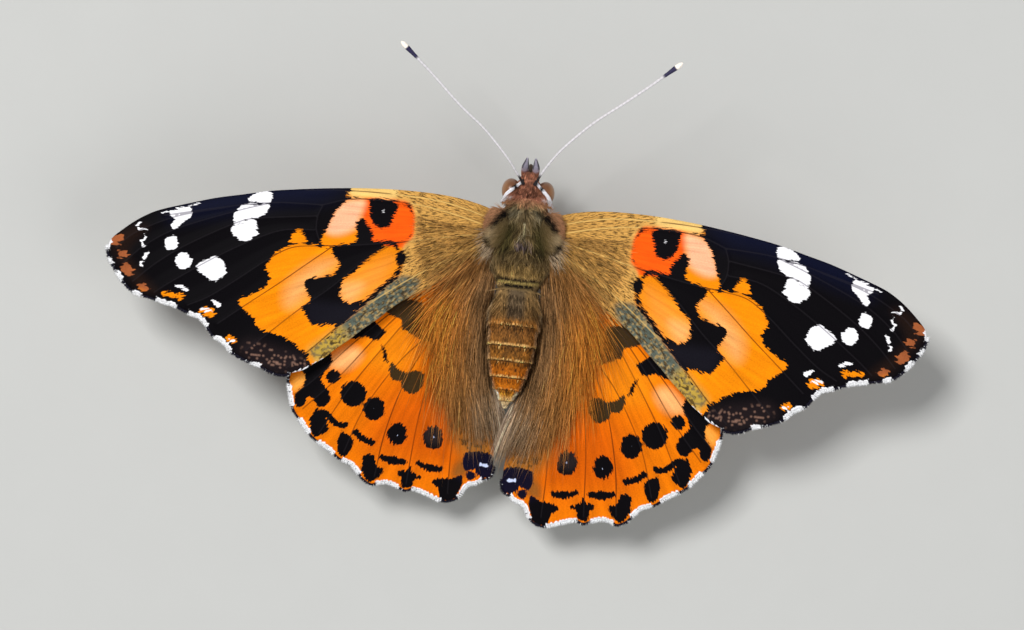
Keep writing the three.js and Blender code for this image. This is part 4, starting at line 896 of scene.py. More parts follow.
class WingFinish(Finish):
    """Rows of scales on one kind of wing, along its rays: marks with toothed edges, veins and flecks."""

    MARK_EDGE = 0.05
    VEIN_HALF = 0.045

    def __init__(self, kind, face, look):
        super().__init__(f"{kind}_{face}_scales")
        self.hind = kind == "hindwing"
        self.look = look
        self.ray, self.reach = self.amount("ray"), self.amount("reach")
        self.teeth = self.along_rays(0.1, 0.7, 0.0, 2.0, 0.6)
        self.grain = self.along_rays(0.07, 0.11, 3.0, 1.0)
        self.clouds = self.along_rays(2.4, 2.8, 11.0)
        self.flecks = self.along_rays(0.2, 0.55, 17.0, 3.0, 0.65)
        edge = (self.teeth - 0.5) * (look.tooth_length * TOOTH_SHARES[kind])
        self.dark = (self.amount("dark") + edge).over(0.0, self.MARK_EDGE)
        self.white = (self.amount("white") + edge * 0.6).over(0.0, self.MARK_EDGE)
        self.on_vein = 1 - self.amount("vein").over(self.VEIN_HALF, self.MARK_EDGE)
        self.tone = 0.1 + self.grain * 0.5 + self.along_rays(0.35, 6.0, 7.0) * 0.8 + self.clouds * 0.5

    def along_rays(self, across, along, seed, *noise):
        """Noise in patches of a size across and along the wing's rays."""
        return self.speckle(self.place(self.ray / across, self.reach / along, seed), *noise)

    def upper(self):
        """The coloured ground with dark and white marks on it."""
        look, on_vein = self.look, self.on_vein
        fleck = self.amount("fleck")
        coloured = self.shaded(self.colour("ground"), self.tone)
        fleck_mark = (fleck * 0.33 + self.flecks).over(0.86, 0.09) * fleck.over(0.15, 0.3)
        coloured = self.blend(coloured, "3a2a16", fleck_mark * 0.85)
        vein_colour = self.blend("4a1c04", "dcb468", fleck.over(0.5, 0.4))
        coloured = self.blend(coloured, vein_colour, on_vein * (0.2 + self.clouds))
        night = self.shaded(self.colour("night"), 0.55 + self.grain * 0.9)
        face = self.blend(coloured, self.blend(night, "2c282c", on_vein * 0.25), self.dark)
        pale = self.blend("c4cce8" if self.hind else look.white, look.white, self.amount("rim"))
        face = self.blend(face, self.blend(pale, "6a6470", on_vein * 0.7), self.white)
        self.relief(self.grain * 0.7 + self.teeth * 0.3, 0.02, 0.5)
        return self.done(Base_Color=face, Roughness=0.72 - self.dark * 0.1, Specular_IOR_Level=0.05)

    def under(self):
        """Rosy orange with a buff tip in front, and marbled olive and cream with eyespots behind."""
        patches = self.along_rays(1.1, 1.3, 23.0, 3.0, 0.6)
        net = self.cell_edges(self.place(self.ray / 1.5, self.reach / 1.7, 29.0))
        marbled = self.blend("7d6f48", "e6dcc4", patches.over(0.52, 0.06))
        marbled = self.blend(marbled, "4f4430", 1 - patches.over(0.4, 0.05))
        marbled = self.blend(marbled, "efe8d8", (1 - net.over(0.07, 0.04)) * 0.8)
        if self.hind:
            face, eyespot = marbled, self.amount("eyespot")
            for code, size in EYESPOT_RINGS:
                face = self.blend(face, code, 1 - eyespot.over(size, 0.08))
        else:
            apex = self.amount("apex")
            face = self.blend("e0703c", "ec9f6c", self.clouds.over(0.5, 0.3))
            face = self.blend(face, "17130f", self.dark * (1 - apex))
            face = self.blend(face, marbled, apex * 0.85)
            face = self.blend(face, "f3efe4", self.white)
        face = self.shaded(self.blend(face, "d8c9a4", self.on_vein * 0.7), self.tone)
        self.relief(self.flecks, 0.02, 0.4)
        return self.done(Base_Color=face, Roughness=0.7, Specular_IOR_Level=0.2)


def fur_finish(name, grain=0.12):
    """Fur and hair: the colour painted at each root, broken up along the strands."""
    f = Finish(name)
    speck = f.speckle(f.place_in_room(grain))
    f.relief(speck, 0.01, 0.4)
    return f.done(Base_Color=f.shaded(f.colour("coat"), 0.72 + speck * 0.56), Roughness=0.62 + speck * 0.26,
                  Specular_IOR_Level=0.1)


def eye_finish():
    """A faceted eye: brown, lighter towards its outer edge, with a soft gloss."""
    f = Finish("faceted_eye")
    facets = f.cell_edges(f.place_in_room(0.05))
    cloud = f.speckle(f.place_in_room(0.4))
    shell = f.shaded(f.blend("6e452a", "a87646", f.amount("outer")), 0.75 + cloud * 0.3 + facets * 0.6)
    f.relief(facets, 0.012, 0.5)
    return f.done(Base_Color=shell, Roughness=0.28 + cloud * 0.12, Coat_Weight=0.3)


def shell_finish(name, patch_size=0.3):
    """Hard parts with fine scales: feelers, legs and tongue, in the colour painted on their points."""
    f = Finish(name)
    fine = f.speckle(f.place_in_room(0.06))
    broad = f.speckle(f.place_in_room(patch_size))
    f.relief(fine, 0.015, 0.5)
    return f.done(Base_Color=f.shaded(f.colour("coat"), 0.6 + fine * 0.45 + broad * 0.35),
                  Roughness=0.5 + fine * 0.2, Specular_IOR_Level=0.35)


def floor_finish(colour):
    f = Finish("floor_paper")
    fibre = f.speckle(f.place_in_room(4.0), 3.0)
    return f.done(Base_Color=f.shaded(tuple(colour), 0.985 + fibre * 0.03), Roughness=0.9)


# Settings that a user would change.


class WingSettings(bpy.types.PropertyGroup):
    point_spacing: FloatProperty(
        name="Point spacing", description="Distance between points of a wing's mesh, in millimetres",
        default=0.15, min=0.08, max=0.5)
    half_thickness: FloatProperty(
        name="Half thickness", description="Half the thickness of the membrane, in millimetres",
        default=0.055, min=0.02, max=0.2)
    vein_rise: FloatProperty(
        name="Vein rise", description="How far a vein stands out of the membrane, in millimetres",
        default=0.07, min=0.0, max=0.2)
    pleat_depth: FloatProperty(
        name="Pleat depth", description="How far the membrane sags between veins, in millimetres",
        default=0.12, min=0.0, max=0.3)
    tooth_length: FloatProperty(
        name="Tooth length", description="How far scales reach over a mark's edge, in millimetres",
        default=0.28, min=0.0, max=1.0)
    fringe_length: FloatProperty(
        name="Fringe length", description="Length of the scales along the outer margin, in millimetres",
        default=0.4, min=0.1, max=1.0)
    orange: FloatVectorProperty(
        name="Orange", description="Ground colour of the forewing's orange areas", subtype="COLOR",
        default=tuple(paint("ee8604")), min=0, max=1)
    hind_orange: FloatVectorProperty(
        name="Hindwing orange", description="Ground colour of the hindwing", subtype="COLOR",
        default=tuple(paint("e47402")), min=0, max=1)
    gold: FloatVectorProperty(
        name="Gold", description="Ground colour of the forewing near its root", subtype="COLOR",
        default=tuple(paint("d09c50")), min=0, max=1)
    black: FloatVectorProperty(
        name="Black", description="Colour of the dark marks", subtype="COLOR",
        default=tuple(paint("060407")), min=0, max=1)
    white: FloatVectorProperty(
        name="White", description="Colour of the white marks", subtype="COLOR",
        default=tuple(paint("f2f0f2")), min=0, max=1)


class FurSettings(bpy.types.PropertyGroup):
    strand_width: FloatProperty(
        name="Strand width", description="Thickness of a hair, in millimetres", default=0.04, min=0.01, max=0.2)
    thorax_length: FloatProperty(
        name="Thorax fur length", description="Length of the hair on the thorax, in millimetres",
        default=1.0, min=0.2, max=2.0)
    thorax_count: IntProperty(
        name="Thorax hairs", description="How many hairs the thorax carries", default=9000, min=0, max=12000)
    abdomen_count: IntProperty(
        name="Abdomen hairs", description="How many scales and hairs the abdomen carries",
        default=12000, min=0, max=12400)
    head_count: IntProperty(
        name="Head hairs", description="How many hairs the head carries", default=4200, min=0, max=12000)
    wing_hair_count: IntProperty(
        name="Wing hairs", description="How many long hairs each hindwing carries", default=6600, min=0, max=7000)
    root_hair_count: IntProperty(
        name="Forewing hairs", description="How many hairs and pale tufts each forewing's root carries",
        default=2600, min=0, max=7000)


class StageSettings(bpy.types.PropertyGroup):
    view_width: FloatProperty(
        name="View width", description="Width of the wing plane that the picture shows", default=0.077,
        min=0.01, max=1.0, unit="LENGTH")
    distance: FloatProperty(
        name="Camera distance", description="Height of the camera above the wings", default=0.39,
        min=0.1, max=2.0, unit="LENGTH")
    turn: FloatProperty(
        name="Turn", description="Turn of the picture about the upright line of sight",
        default=math.radians(6.2), subtype="ANGLE")
    floor_colour: FloatVectorProperty(
        name="Floor", description="Colour of the floor", subtype="COLOR", default=(0.5, 0.5, 0.48), min=0, max=1)


# The stage, in metres.

FLOOR_HALF = 0.6
FLOOR_DROP = 0.0002
# Each light's name, place, size and watts.
LIGHTS = (("key_light", (-0.25, 0.22, 0.62), 0.22, 4.5),
          ("fill_light", (0.4, -0.2, 0.5), 0.4, 1.25),
          ("rear_light", (0.05, -0.5, 0.3), 0.4, 0.6))
SKY_COLOUR = (0.9, 0.94, 1.0, 1)
SKY_STRENGTH = 0.25
SENSOR_WIDTH = 36.0  # in millimetres
CAMERA_CLIP = (0.01, 10)
VIEW_CENTRE = (-0.00021, -0.00225)
WING_PLANE = 0.0085


# Pieces.


class PieceOperator:
    """What the piece operators share."""

    bl_options = {"REGISTER", "UNDO"}

    def execute(self, context):
        self.make(context.scene)
        return {"FINISHED"}


class BUTTERFLY_OT_stage(PieceOperator, bpy.types.Operator):
    """Adds the floor, the soft lights and the camera that looks down on the wings"""

    bl_idname = "butterfly.stage"
    bl_label = "Stage"

    def make(self, scene):
        look = scene.butterfly_stage
        self.floor(scene, look)
        for name, place, size, power in LIGHTS:
            lamp = bpy.data.lights.new(name, "AREA")
            lamp.size, lamp.energy = size, power
            light = bpy.data.objects.new(name, lamp)
            light.location = place
            light.rotation_euler = Vector(place).to_track_quat("Z", "Y").to_euler()
            scene.collection.objects.link(light)
        world = bpy.data.worlds.new("studio")
        world.use_nodes = True
        sky = world.node_tree.nodes["Background"].inputs
        sky["Color"].default_value, sky["Strength"].default_value = SKY_COLOUR, SKY_STRENGTH
        scene.world = world
        scene.view_settings.view_transform = "Standard"
        self.camera(scene, look)

    def floor(self, scene, look):
        mesh = bpy.data.meshes.new("floor")
        corners = [(FLOOR_HALF * x, FLOOR_HALF * y, 0) for x, y in ((-1, -1), (1, -1), (1, 1), (-1, 1))]
        mesh.from_pydata(corners, [], [range(4)])
        mesh.materials.append(floor_finish(look.floor_colour))
        floor = bpy.data.objects.new("floor", mesh)
        floor.location.z = -FLOOR_DROP
        scene.collection.objects.link(floor)

    def camera(self, scene, look):
        """Looks straight down. A sensor as wide as the view at the camera's distance sets the lens."""
        camera = bpy.data.cameras.new("camera")
        camera.sensor_width = SENSOR_WIDTH
        camera.lens = SENSOR_WIDTH * look.distance / look.view_width
        camera.clip_start, camera.clip_end = CAMERA_CLIP
        viewer = bpy.data.objects.new("camera", camera)
        place = Matrix.Translation((*VIEW_CENTRE, WING_PLANE + look.distance))
        viewer.matrix_world = place @ Matrix.Rotation(look.turn, 4, "Z")
        scene.collection.objects.link(viewer)
        scene.camera = viewer


def sheet_plan(outline, lines, step):
    """Plan points and triangles that fill an outline, with points set along some lines in it."""
    low, high = outline.min(axis=0), outline.max(axis=0)
    rows = np.arange(low[1], high[1], step * 0.866)
    x, y = np.meshgrid(np.arange(low[0], high[0], step), rows)
    x = x + (np.arange(len(rows)) % 2)[:, None] * step / 2
    x, y = x.ravel(), y.ravel()
    clear = np.min([line_distance(x, y, line) for line in lines], axis=0)
    keep = (outline_depth(x, y, outline) > step * 0.45) & (clear > step * 0.5)
    on_lines = np.zeros((0, 2))
    for line in lines:
        line = line[outline_depth(*line.T, outline) > step * 0.45]
        apart = [np.hypot(*(on_lines - p).T).min(initial=1) > step * 0.5 for p in line]
        on_lines = np.vstack([on_lines, line[apart]])
    flat = [Vector(p) for p in np.vstack([outline, on_lines, np.stack([x[keep], y[keep]], axis=1)])]
    found, _, faces, _, _, _ = delaunay_2d_cdt(flat, [], [list(range(len(outline)))], 1, 1e-7)
    plan, faces = np.array(found, float), np.array(faces, int)
    a, b, c = (plan[faces[:, k]] for k in range(3))
    turn = (b[:, 0] - a[:, 0]) * (c[:, 1] - a[:, 1]) - (b[:, 1] - a[:, 1]) * (c[:, 0] - a[:, 0])
    return plan, np.where(turn[:, None] > 0, faces, faces[:, ::-1])


def open_edges(faces):
    """The edges that only one triangle has, in its own order."""
    edges = {(i, j) for i, j in np.vstack([faces[:, [0, 1]], faces[:, [1, 2]], faces[:, [2, 0]]]).tolist()}
    return np.array(sorted((i, j) for i, j in edges if (j, i) not in edges))


def wing_mesh(look, side, kind):
    """A wing as a thin pleated sheet with raised veins, its pattern painted on its points."""
    wing = WINGS[kind]
    outline = smooth_line(wing.outline, step=look.point_spacing, closed=True)
    lines = [smooth_line(points, step=look.point_spacing) for points in wing.veins]
    plan, faces = sheet_plan(outline, lines, look.point_spacing)
    x, y = plan.T
    vein = np.min([line_distance(x, y, line) for line in lines], axis=0)
    within = ease(outline_depth(x, y, outline) / 0.6)
    relief = look.vein_rise * np.exp(-(vein / 0.11) ** 2)
    relief = (relief + look.pleat_depth * (np.exp(-(vein / 0.8) ** 2) - 0.5)) * within
    values = wing_pattern(look, x, y, kind)
    values["vein"] = vein
    rim = open_edges(faces)
    below = len(x)
    top, _ = on_wing(x, y, side, wing.height, relief + look.half_thickness)
    bottom, _ = on_wing(x, y, side, wing.height, relief - look.half_thickness)
    share = (plan - outline.min(axis=0)) / np.ptp(outline, axis=0)
    place = (0.015, 0.02) + share * (0.465, 0.95)
    centre = place.mean(axis=0)
    outer = centre + (place - centre) * 1.012
    under_place = place + (0.5, 0)
    rim_faces = np.stack([rim[:, 0], below + rim[:, 0], below + rim[:, 1], rim[:, 1]], axis=1)
    rim_map = np.stack([place[rim[:, 0]], outer[rim[:, 0]], outer[rim[:, 1]], place[rim[:, 1]]], axis=1)
    if SIDES[side][0] < 0:
        faces = faces[:, ::-1]
        rim_faces, rim_map = rim_faces[:, ::-1], rim_map[:, ::-1]
    shape = Shape()
    both = {name: np.concatenate([value, value]) for name, value in values.items()}
    shape.add(np.vstack([top, bottom]), [faces, rim_faces], [place[faces], rim_map], **both)
    under_faces = faces[:, ::-1]
    shape.cover(under_faces + below, under_place[under_faces], finish=1)
    return shape


def wing_pattern(look, x, y, kind):
    """The painted values of a wing's points."""
    wing = WINGS[kind]
    from_root = x - wing.root[0], y - wing.root[1]
    outline = smooth_line(wing.outline, step=0.15, closed=True)
    rim = np.minimum(white_depth(x, y, kind), RIM_WIDTH - outline_depth(x, y, outline))
    values = {"ray": np.arctan2(*from_root[::-1]) * RAY_SCALE, "reach": np.hypot(*from_root),
              "rim": ease(rim / 0.2 + 1)}
    if kind == "forewing":
        golden = mark_depth(x, y, FORE_FLECKS)
        ground = mixed(tinted(look.orange, x, y, FORE_TINTS), look.gold, ease(golden / 0.35 + 0.5))
        ground = tinted(ground, x, y, FORE_ROOT_TINTS)
        # The dark ground, with painted blue sheen near the costa.
        night = tinted(look.black, x, y, FORE_NIGHT_TINTS_AND_SHEEN)
        chance = np.random.default_rng(3).random(len(x))
        for base, share, code, weight, edge, marks in FORE_MOTTLES:
            speck = (chance < share) * ease(mark_depth(x, y, marks) / edge) * weight
            if base == "ground":
                ground = mixed(ground, code, speck)
            else:
                night = mixed(night, code, speck)
        values["dark"] = np.maximum(-mark_depth(x, y, FORE_BRIGHT), mark_depth(x, y, FORE_DARK))
        values["white"] = np.maximum(mark_depth(x, y, FORE_WHITE, 0.4) + 0.03, rim)
        values["fleck"] = ease(golden / 0.7 + 0.4)
        values["apex"] = ease((x - APEX_START) / 2.0)
    else:
        ground = tinted(look.hind_orange, x, y, HIND_TINTS)
        night = tinted(look.black, x, y, HIND_NIGHT_TINTS)
        values["dark"] = mark_depth(x, y, HIND_DARK) + 0.03
        values["white"] = np.maximum(mark_depth(x, y, HIND_WHITE, 0.4), rim)
        values["fleck"] = ease(mark_depth(x, y, HIND_FLECKS) + 0.4)
        values["eyespot"] = np.min([np.hypot(x - cx, y - cy) / size for (cx, cy), size in EYESPOTS], axis=0)
    return {**values, "ground": ground, "night": night}


def wing_pieces(scene, kind):
    look = scene.butterfly_wings
    finishes = [WingFinish(kind, "upper", look).upper(), WingFinish(kind, "under", look).under()]
    for side in SIDES:
        wing_mesh(look, side, kind).piece(f"{kind}_scaled_{side}", finishes, "wing", [f"{kind}_{side}"])


class BUTTERFLY_OT_forewings(PieceOperator, bpy.types.Operator):
    """Adds the two forewings"""

    bl_idname = "butterfly.forewings"
    bl_label = "Forewings"

    def make(self, scene):
        wing_pieces(scene, "forewing")


class BUTTERFLY_OT_hindwings(PieceOperator, bpy.types.Operator):
    """Adds the two hindwings"""

    bl_idname = "butterfly.hindwings"
    bl_label = "Hindwings"

    def make(self, scene):
        wing_pieces(scene, "hindwing")


class BUTTERFLY_OT_fringe(PieceOperator, bpy.types.Operator):
    """Adds the fringe of scales along the outer margins, white between the veins and dark at their ends"""

    bl_idname = "butterfly.fringe"
    bl_label = "Margin fringe"

    def make(self, scene):
        finish = fur_finish("fringe_scales", grain=0.1)
        rng = np.random.default_rng(11)
        for kind, wing in WINGS.items():
            line = smooth_line(wing.outline, step=0.02, closed=True)
            first, last = (int(np.argmin(np.hypot(*(line - end).T))) for end in wing.margin_ends)
            margin = line[first:last]
            tangent = unit(np.gradient(margin, axis=0))
            out = np.stack([-tangent[:, 1], tangent[:, 0]], axis=1)
            if ((margin - wing.middle) * out).sum() < 0:
                out = -out
            for side in SIDES:
                shape = self.scales(rng, scene.butterfly_wings, kind, side, (margin, tangent, out))
                shape.piece(f"{kind}_fringe_{side}", [finish], "wing")

    def scales(self, rng, look, kind, side, margin_lines):
        """Flat scales that stand out of the margin, each from a root a little way in."""
        margin, tangent, out = margin_lines
        count = FRINGE_COUNT
        at = np.sort(rng.integers(0, len(margin), count))
        roots = margin[at] - out[at] * rng.uniform(0.05, 0.16, count)[:, None]
        heading = out[at] + tangent[at] * rng.normal(0, 0.14, count)[:, None]
        white = ease((white_depth(*roots.T, kind) + rng.normal(0, 0.06, count)) / 0.08 + 0.5)
        white = np.where(rng.random(count) < 0.03, 1 - white, white)
        length = look.fringe_length * rng.uniform(0.75, 1.1, count) * (0.82 + 0.18 * white)
        stations = []
        for share in np.linspace(0, 1, 4):
            x, y = (roots + heading * (length * share)[:, None]).T
            lift = rng.uniform(-0.05, 0.06, count) * (share > 0)
            stations.append(on_wing(x, y, side, WINGS[kind].height, lift)[0])
        colours = mixed("1c1a28", "ffffff", white) * rng.uniform(0.85, 1.05, count)[:, None]
        places = np.stack([0.02 + 0.94 * at / len(margin), rng.uniform(0.1, 0.9, count)], axis=1)
        shape = Shape()
        shape.hairs(np.stack(stations, axis=1), FRINGE_WIDTH, places, colours, 0.2)
        return shape


def skin_points(turn, y):
    """Points on the body's skin. Turn 0 is its right side and a quarter turn its top."""
    half, high, middle = body_profile(y)
    return np.stack([half * np.cos(turn), y, middle + high * np.sin(turn)], axis=-1)


def skin_directions(turn, y):
    """The directions out of the body's skin and back along it."""
    h = 0.03
    around = skin_points(turn + h, y) - skin_points(turn - h, y)
    ahead = skin_points(turn, y + h) - skin_points(turn, y - h)
    points = skin_points(turn, y)
    from_core = points - np.stack([0 * y, y, 0 * y + BODY_CORE_HEIGHT], axis=-1)
    out = np.cross(ahead, around)
    out *= np.sign((out * from_core).sum(axis=-1))[..., None]
    return unit(out), -unit(ahead)


def body_colours(x, y, z, rng=None):
    """The markings that the body's skin and its fur share, and a painted shadow behind each ring's rim."""
    x = np.abs(x)
    wander = np.zeros((3, len(x))) if rng is None else rng.normal(0, 1, (3, len(x)))
    colours = tinted(paint("866e48"), x + 0.07 * wander[0], y + 0.06 * wander[1], BODY_TINTS)
    table = np.array([(place, *paint(code)) for place, code in BELLY_ALONG])[::-1]
    rings = np.stack([np.interp(y, table[:, 0], table[:, k]) for k in (1, 2, 3)], axis=1)
    share, half = ring_share(y + 0.035 * wander[0]), np.maximum(abdomen_half(y), 0.2)
    chevron = ease((0.3 - np.abs(x - 0.7 * share)) / 0.15) * ease((y + 9.3) / 0.5) * (wander[2] > -0.3)
    ringed = ease((-5.3 - y) / 0.3)
    for code, weight in (
            ("4a4238", ease((0.9 - x) / 0.5) * ease((y + 5.9) / 0.6) * 0.7),
            ("3a2612", chevron * ease((-5.0 - y) / 1.0) * 0.55),
            ("2c1c0e", (wander[2] > 0.75) * ease((1.4 - x) / 0.5) * ease((y + 10.8) / 2) * 0.7),
            ("a48c6c", ease((x - half + 0.4) / 0.25) * 0.5),
            ("efdcb4", ease((x / half - 0.5) / 0.3) * ease((-11.1 - y) / 0.2) * 0.8),
            ("f4bc70", ease((share - 0.83) / 0.08) * ringed),
            # Painted shadow: the front of each ring, in the groove behind the rim of the ring ahead, is darkened.
            ("3a2410", ease((0.12 - share) / 0.05) * ringed * 0.9),
            ("14100c", ease(mark_depth(x, y, BELLY_DOTS, 0.3) / 0.06 + 0.5))):
        rings = mixed(rings, code, weight)
    colours = mixed(colours, rings, ease((-3.5 - y) / 0.2))
    under = ease((abdomen_middle(y) + 0.2 - z) / 1.2) * ease((1.0 - y) / 5)
    return mixed(colours, "a3937c", np.maximum(under, ease((6.6 - z) / 0.9)) * 0.85)


def body_map(turn, y):
    """The skin's unwrap: the way round from the underside, and the way along."""
    around = ((turn + np.pi / 2) / (2 * np.pi)) % 1.0
    tail, nose = BODY_SPAN
    return np.stack([0.02 + 0.96 * around, 0.05 + 0.9 * (y - tail) / (nose - tail)], axis=-1)


class BUTTERFLY_OT_body_skin(PieceOperator, bpy.types.Operator):
    """Adds the skin of head, collar, thorax and ringed abdomen in one piece, under the fur"""

    bl_idname = "butterfly.body_skin"
    bl_label = "Body skin"

    def make(self, scene):
        sides = 56
        rows = np.concatenate([np.arange(5.22, -3.4, -0.09), np.arange(-3.4, -12.6, -0.055)])
        turn = np.linspace(0, 2 * np.pi, sides, endpoint=False) - np.pi / 2
        points = with_ends(skin_points(*np.meshgrid(turn, rows)), sides)
        faces, maps = ring_faces(len(rows), sides)
        for places in maps:
            places[..., 1] = 1 - places[..., 1]
        shape = Shape()
        shape.add(points, [part[:, ::-1] for part in faces], [places[:, ::-1] for places in maps],
                  coat=body_colours(*points.T) * 0.75)
        shape.piece("body_skin", [fur_finish("body_scales")], "body", ["thorax", "collar", "head", "abdomen"])


def scattered(rng, count, y_low, y_high):
    """Random places on the body's skin, even over its area above and sparser below."""
    tries = count * 4
    y = rng.uniform(y_low, y_high, tries)
    turn = rng.uniform(-np.pi, np.pi, tries)
    half, high, _ = body_profile(y)
    weight = (half + high) / (half + high).max() * np.where(np.sin(turn) > -0.3, 1.0, BELLY_FUR_SHARE)
    keep = np.flatnonzero(rng.random(tries) < weight)[:count]
    return turn[keep], y[keep]


def patch_numbers(x, y, sizes, factors, count):
    """A number for the small rectangle that each place lies in, spread so that neighbours differ."""
    return (np.floor(np.stack([x, y], axis=1) / sizes) @ factors).astype(int) % count


def random_shades(rng, count, shades, shares):
    """How light each of a number of hairs is."""
    return rng.choice(shades, count, p=shares)[:, None]


class BUTTERFLY_OT_body_fur(PieceOperator, bpy.types.Operator):
    """Adds the fur of the thorax and head and the scales and hair of the abdomen"""

    bl_idname = "butterfly.body_fur"
    bl_label = "Body fur"

    def make(self, scene):
        look = scene.butterfly_fur
        finish = fur_finish("body_fur")
        rng = np.random.default_rng(5)
        self.patch(rng, finish, "thorax_fur", look, look.thorax_count, (-3.5, 3.4), look.thorax_length)
        self.patch(rng, finish, "head_fur", look, look.head_count, (3.3, 5.22), 0.34)
        self.patch(rng, finish, "abdomen_fur", look, look.abdomen_count, (-12.55, -3.45), 0.34)

    def patch(self, rng, finish, name, look, count, span, length):
        turn, y = scattered(rng, count, *span)
        n = len(y)
        points = skin_points(turn, y)
        out, back = skin_directions(turn, y)
        aside = np.stack([np.sign(points[:, 0]), 0 * y, 0 * y], axis=1)
        wide = np.abs(points[:, 0:1]) / 2.4
        stations, width = 5, 0.95
        if name == "thorax_fur":
            lengths = length * rng.uniform(0.5, 1.15, n) * np.interp(y, [-3.5, -2.8, -2.2, -1.4, 2.2, 2.8, 3.4],
                                                                     [0.2, 0.22, 0.45, 1.0, 0.9, 0.6, 0.5])
            lift, stray = 0.66, 0.34
            heading = back + aside * wide * 0.6
        elif name == "head_fur":
            lengths = length * rng.uniform(0.6, 1.2, n)
            lift, stray = 0.5, 0.2
            heading = np.where((y > 4.7)[:, None], -back, back * 0.5) + aside * wide * 2.0
        else:
            loose = (rng.random(n) < 0.45) & (y > -6.1)
            lengths = length * rng.uniform(0.6, 1.2, n) * np.where(loose, 2.2, 1.0)
            lengths *= np.where((ring_share(y) > 0.8) & (y < -6), 0.4, 1.0)
            lengths *= np.interp(y, [-12.6, -11], [0.6, 1])
            lift, stray, stations, width = 0.2, 0.14, 4, np.where(loose, 0.9, 1.7)
            flank = loose & (y > -5.4) & (np.abs(points[:, 0]) > 1.0)
            heading = back + aside * np.where(flank, 0.9, wide[:, 0] * 0.15)[:, None]
            lengths = np.where(flank, lengths * 1.5, lengths)
        tuft = rng.normal(0, 1, (TUFT_PATCHES[-1], 3))[patch_numbers(points[:, 0], y, *TUFT_PATCHES)] * stray
        heading = along_surface(heading + rng.normal(0, stray, (n, 3)) * 0.7 + tuft * 0.9, out)
        lifts = out * (lift * rng.uniform(0.5, 1.4, n))[:, None]
        paths = bent_paths(points - out * 0.02, heading, lifts, lengths, stations, 0.75)
        colours = body_colours(*points.T, rng) * random_shades(rng, n, *FUR_SHADES)
        colours = colours * np.clip(1 + tuft[:, :1] * 0.8, 0.5, 1.6)
        speck = patch_numbers(points[:, 0], y, *SPECK_PATCHES)
        colours = colours * random_shades(rng, SPECK_PATCHES[-1], *SPECK_SHADES)[speck]
        shape = Shape()
        shape.hairs(paths, look.strand_width * rng.uniform(0.7, 1.2, n) * width, body_map(turn, y), colours)
        shape.piece(name, [finish], "belly" if name == "abdomen_fur" else "body")


def on_ball(turn, lift):
    """Points on a ball of radius 1 from angles round it and up from its middle."""
    return np.stack([np.cos(lift) * np.cos(turn), np.cos(lift) * np.sin(turn), np.sin(lift)], axis=-1)


def with_ends(rings, columns):
    """Rings of points in one array, and after them the middles of the first and the last."""
    points = rings.reshape(-1, 3)
    return np.vstack([points, points[:columns].mean(axis=0), points[-columns:].mean(axis=0)])


def ellipsoid_points(centre, half, rows, columns, low, high):
    """Rings of points on an egg shape, from below to above, in half turns from its middle."""
    lift = np.linspace(low * np.pi, high * np.pi, rows)
    turn = np.linspace(0, 2 * np.pi, columns, endpoint=False)
    return with_ends(on_ball(*np.meshgrid(turn, lift)) * half + centre, columns)


def along_bar(rng, line, radii, count, low=0.04, high=0.96):
    """Random places on a bar: shares of its length, roots, ways out and along, and places on its map."""
    s = np.linspace(0, 1, len(line))
    at, around = rng.uniform(low, high, count), rng.uniform(0, 2 * np.pi, count)
    along, across, up = along_frames(line)
    pick = lambda table: np.stack([np.interp(at, s, table[:, k]) for k in range(3)], axis=1)
    out = pick(across) * np.cos(around)[:, None] + pick(up) * np.sin(around)[:, None]
    roots = pick(line) + out * (np.interp(at, s, radii) * 0.9)[:, None]
    return at, roots, out, pick(along), np.stack([0.02 + 0.94 * around / (2 * np.pi), 0.05 + 0.88 * at], axis=1)


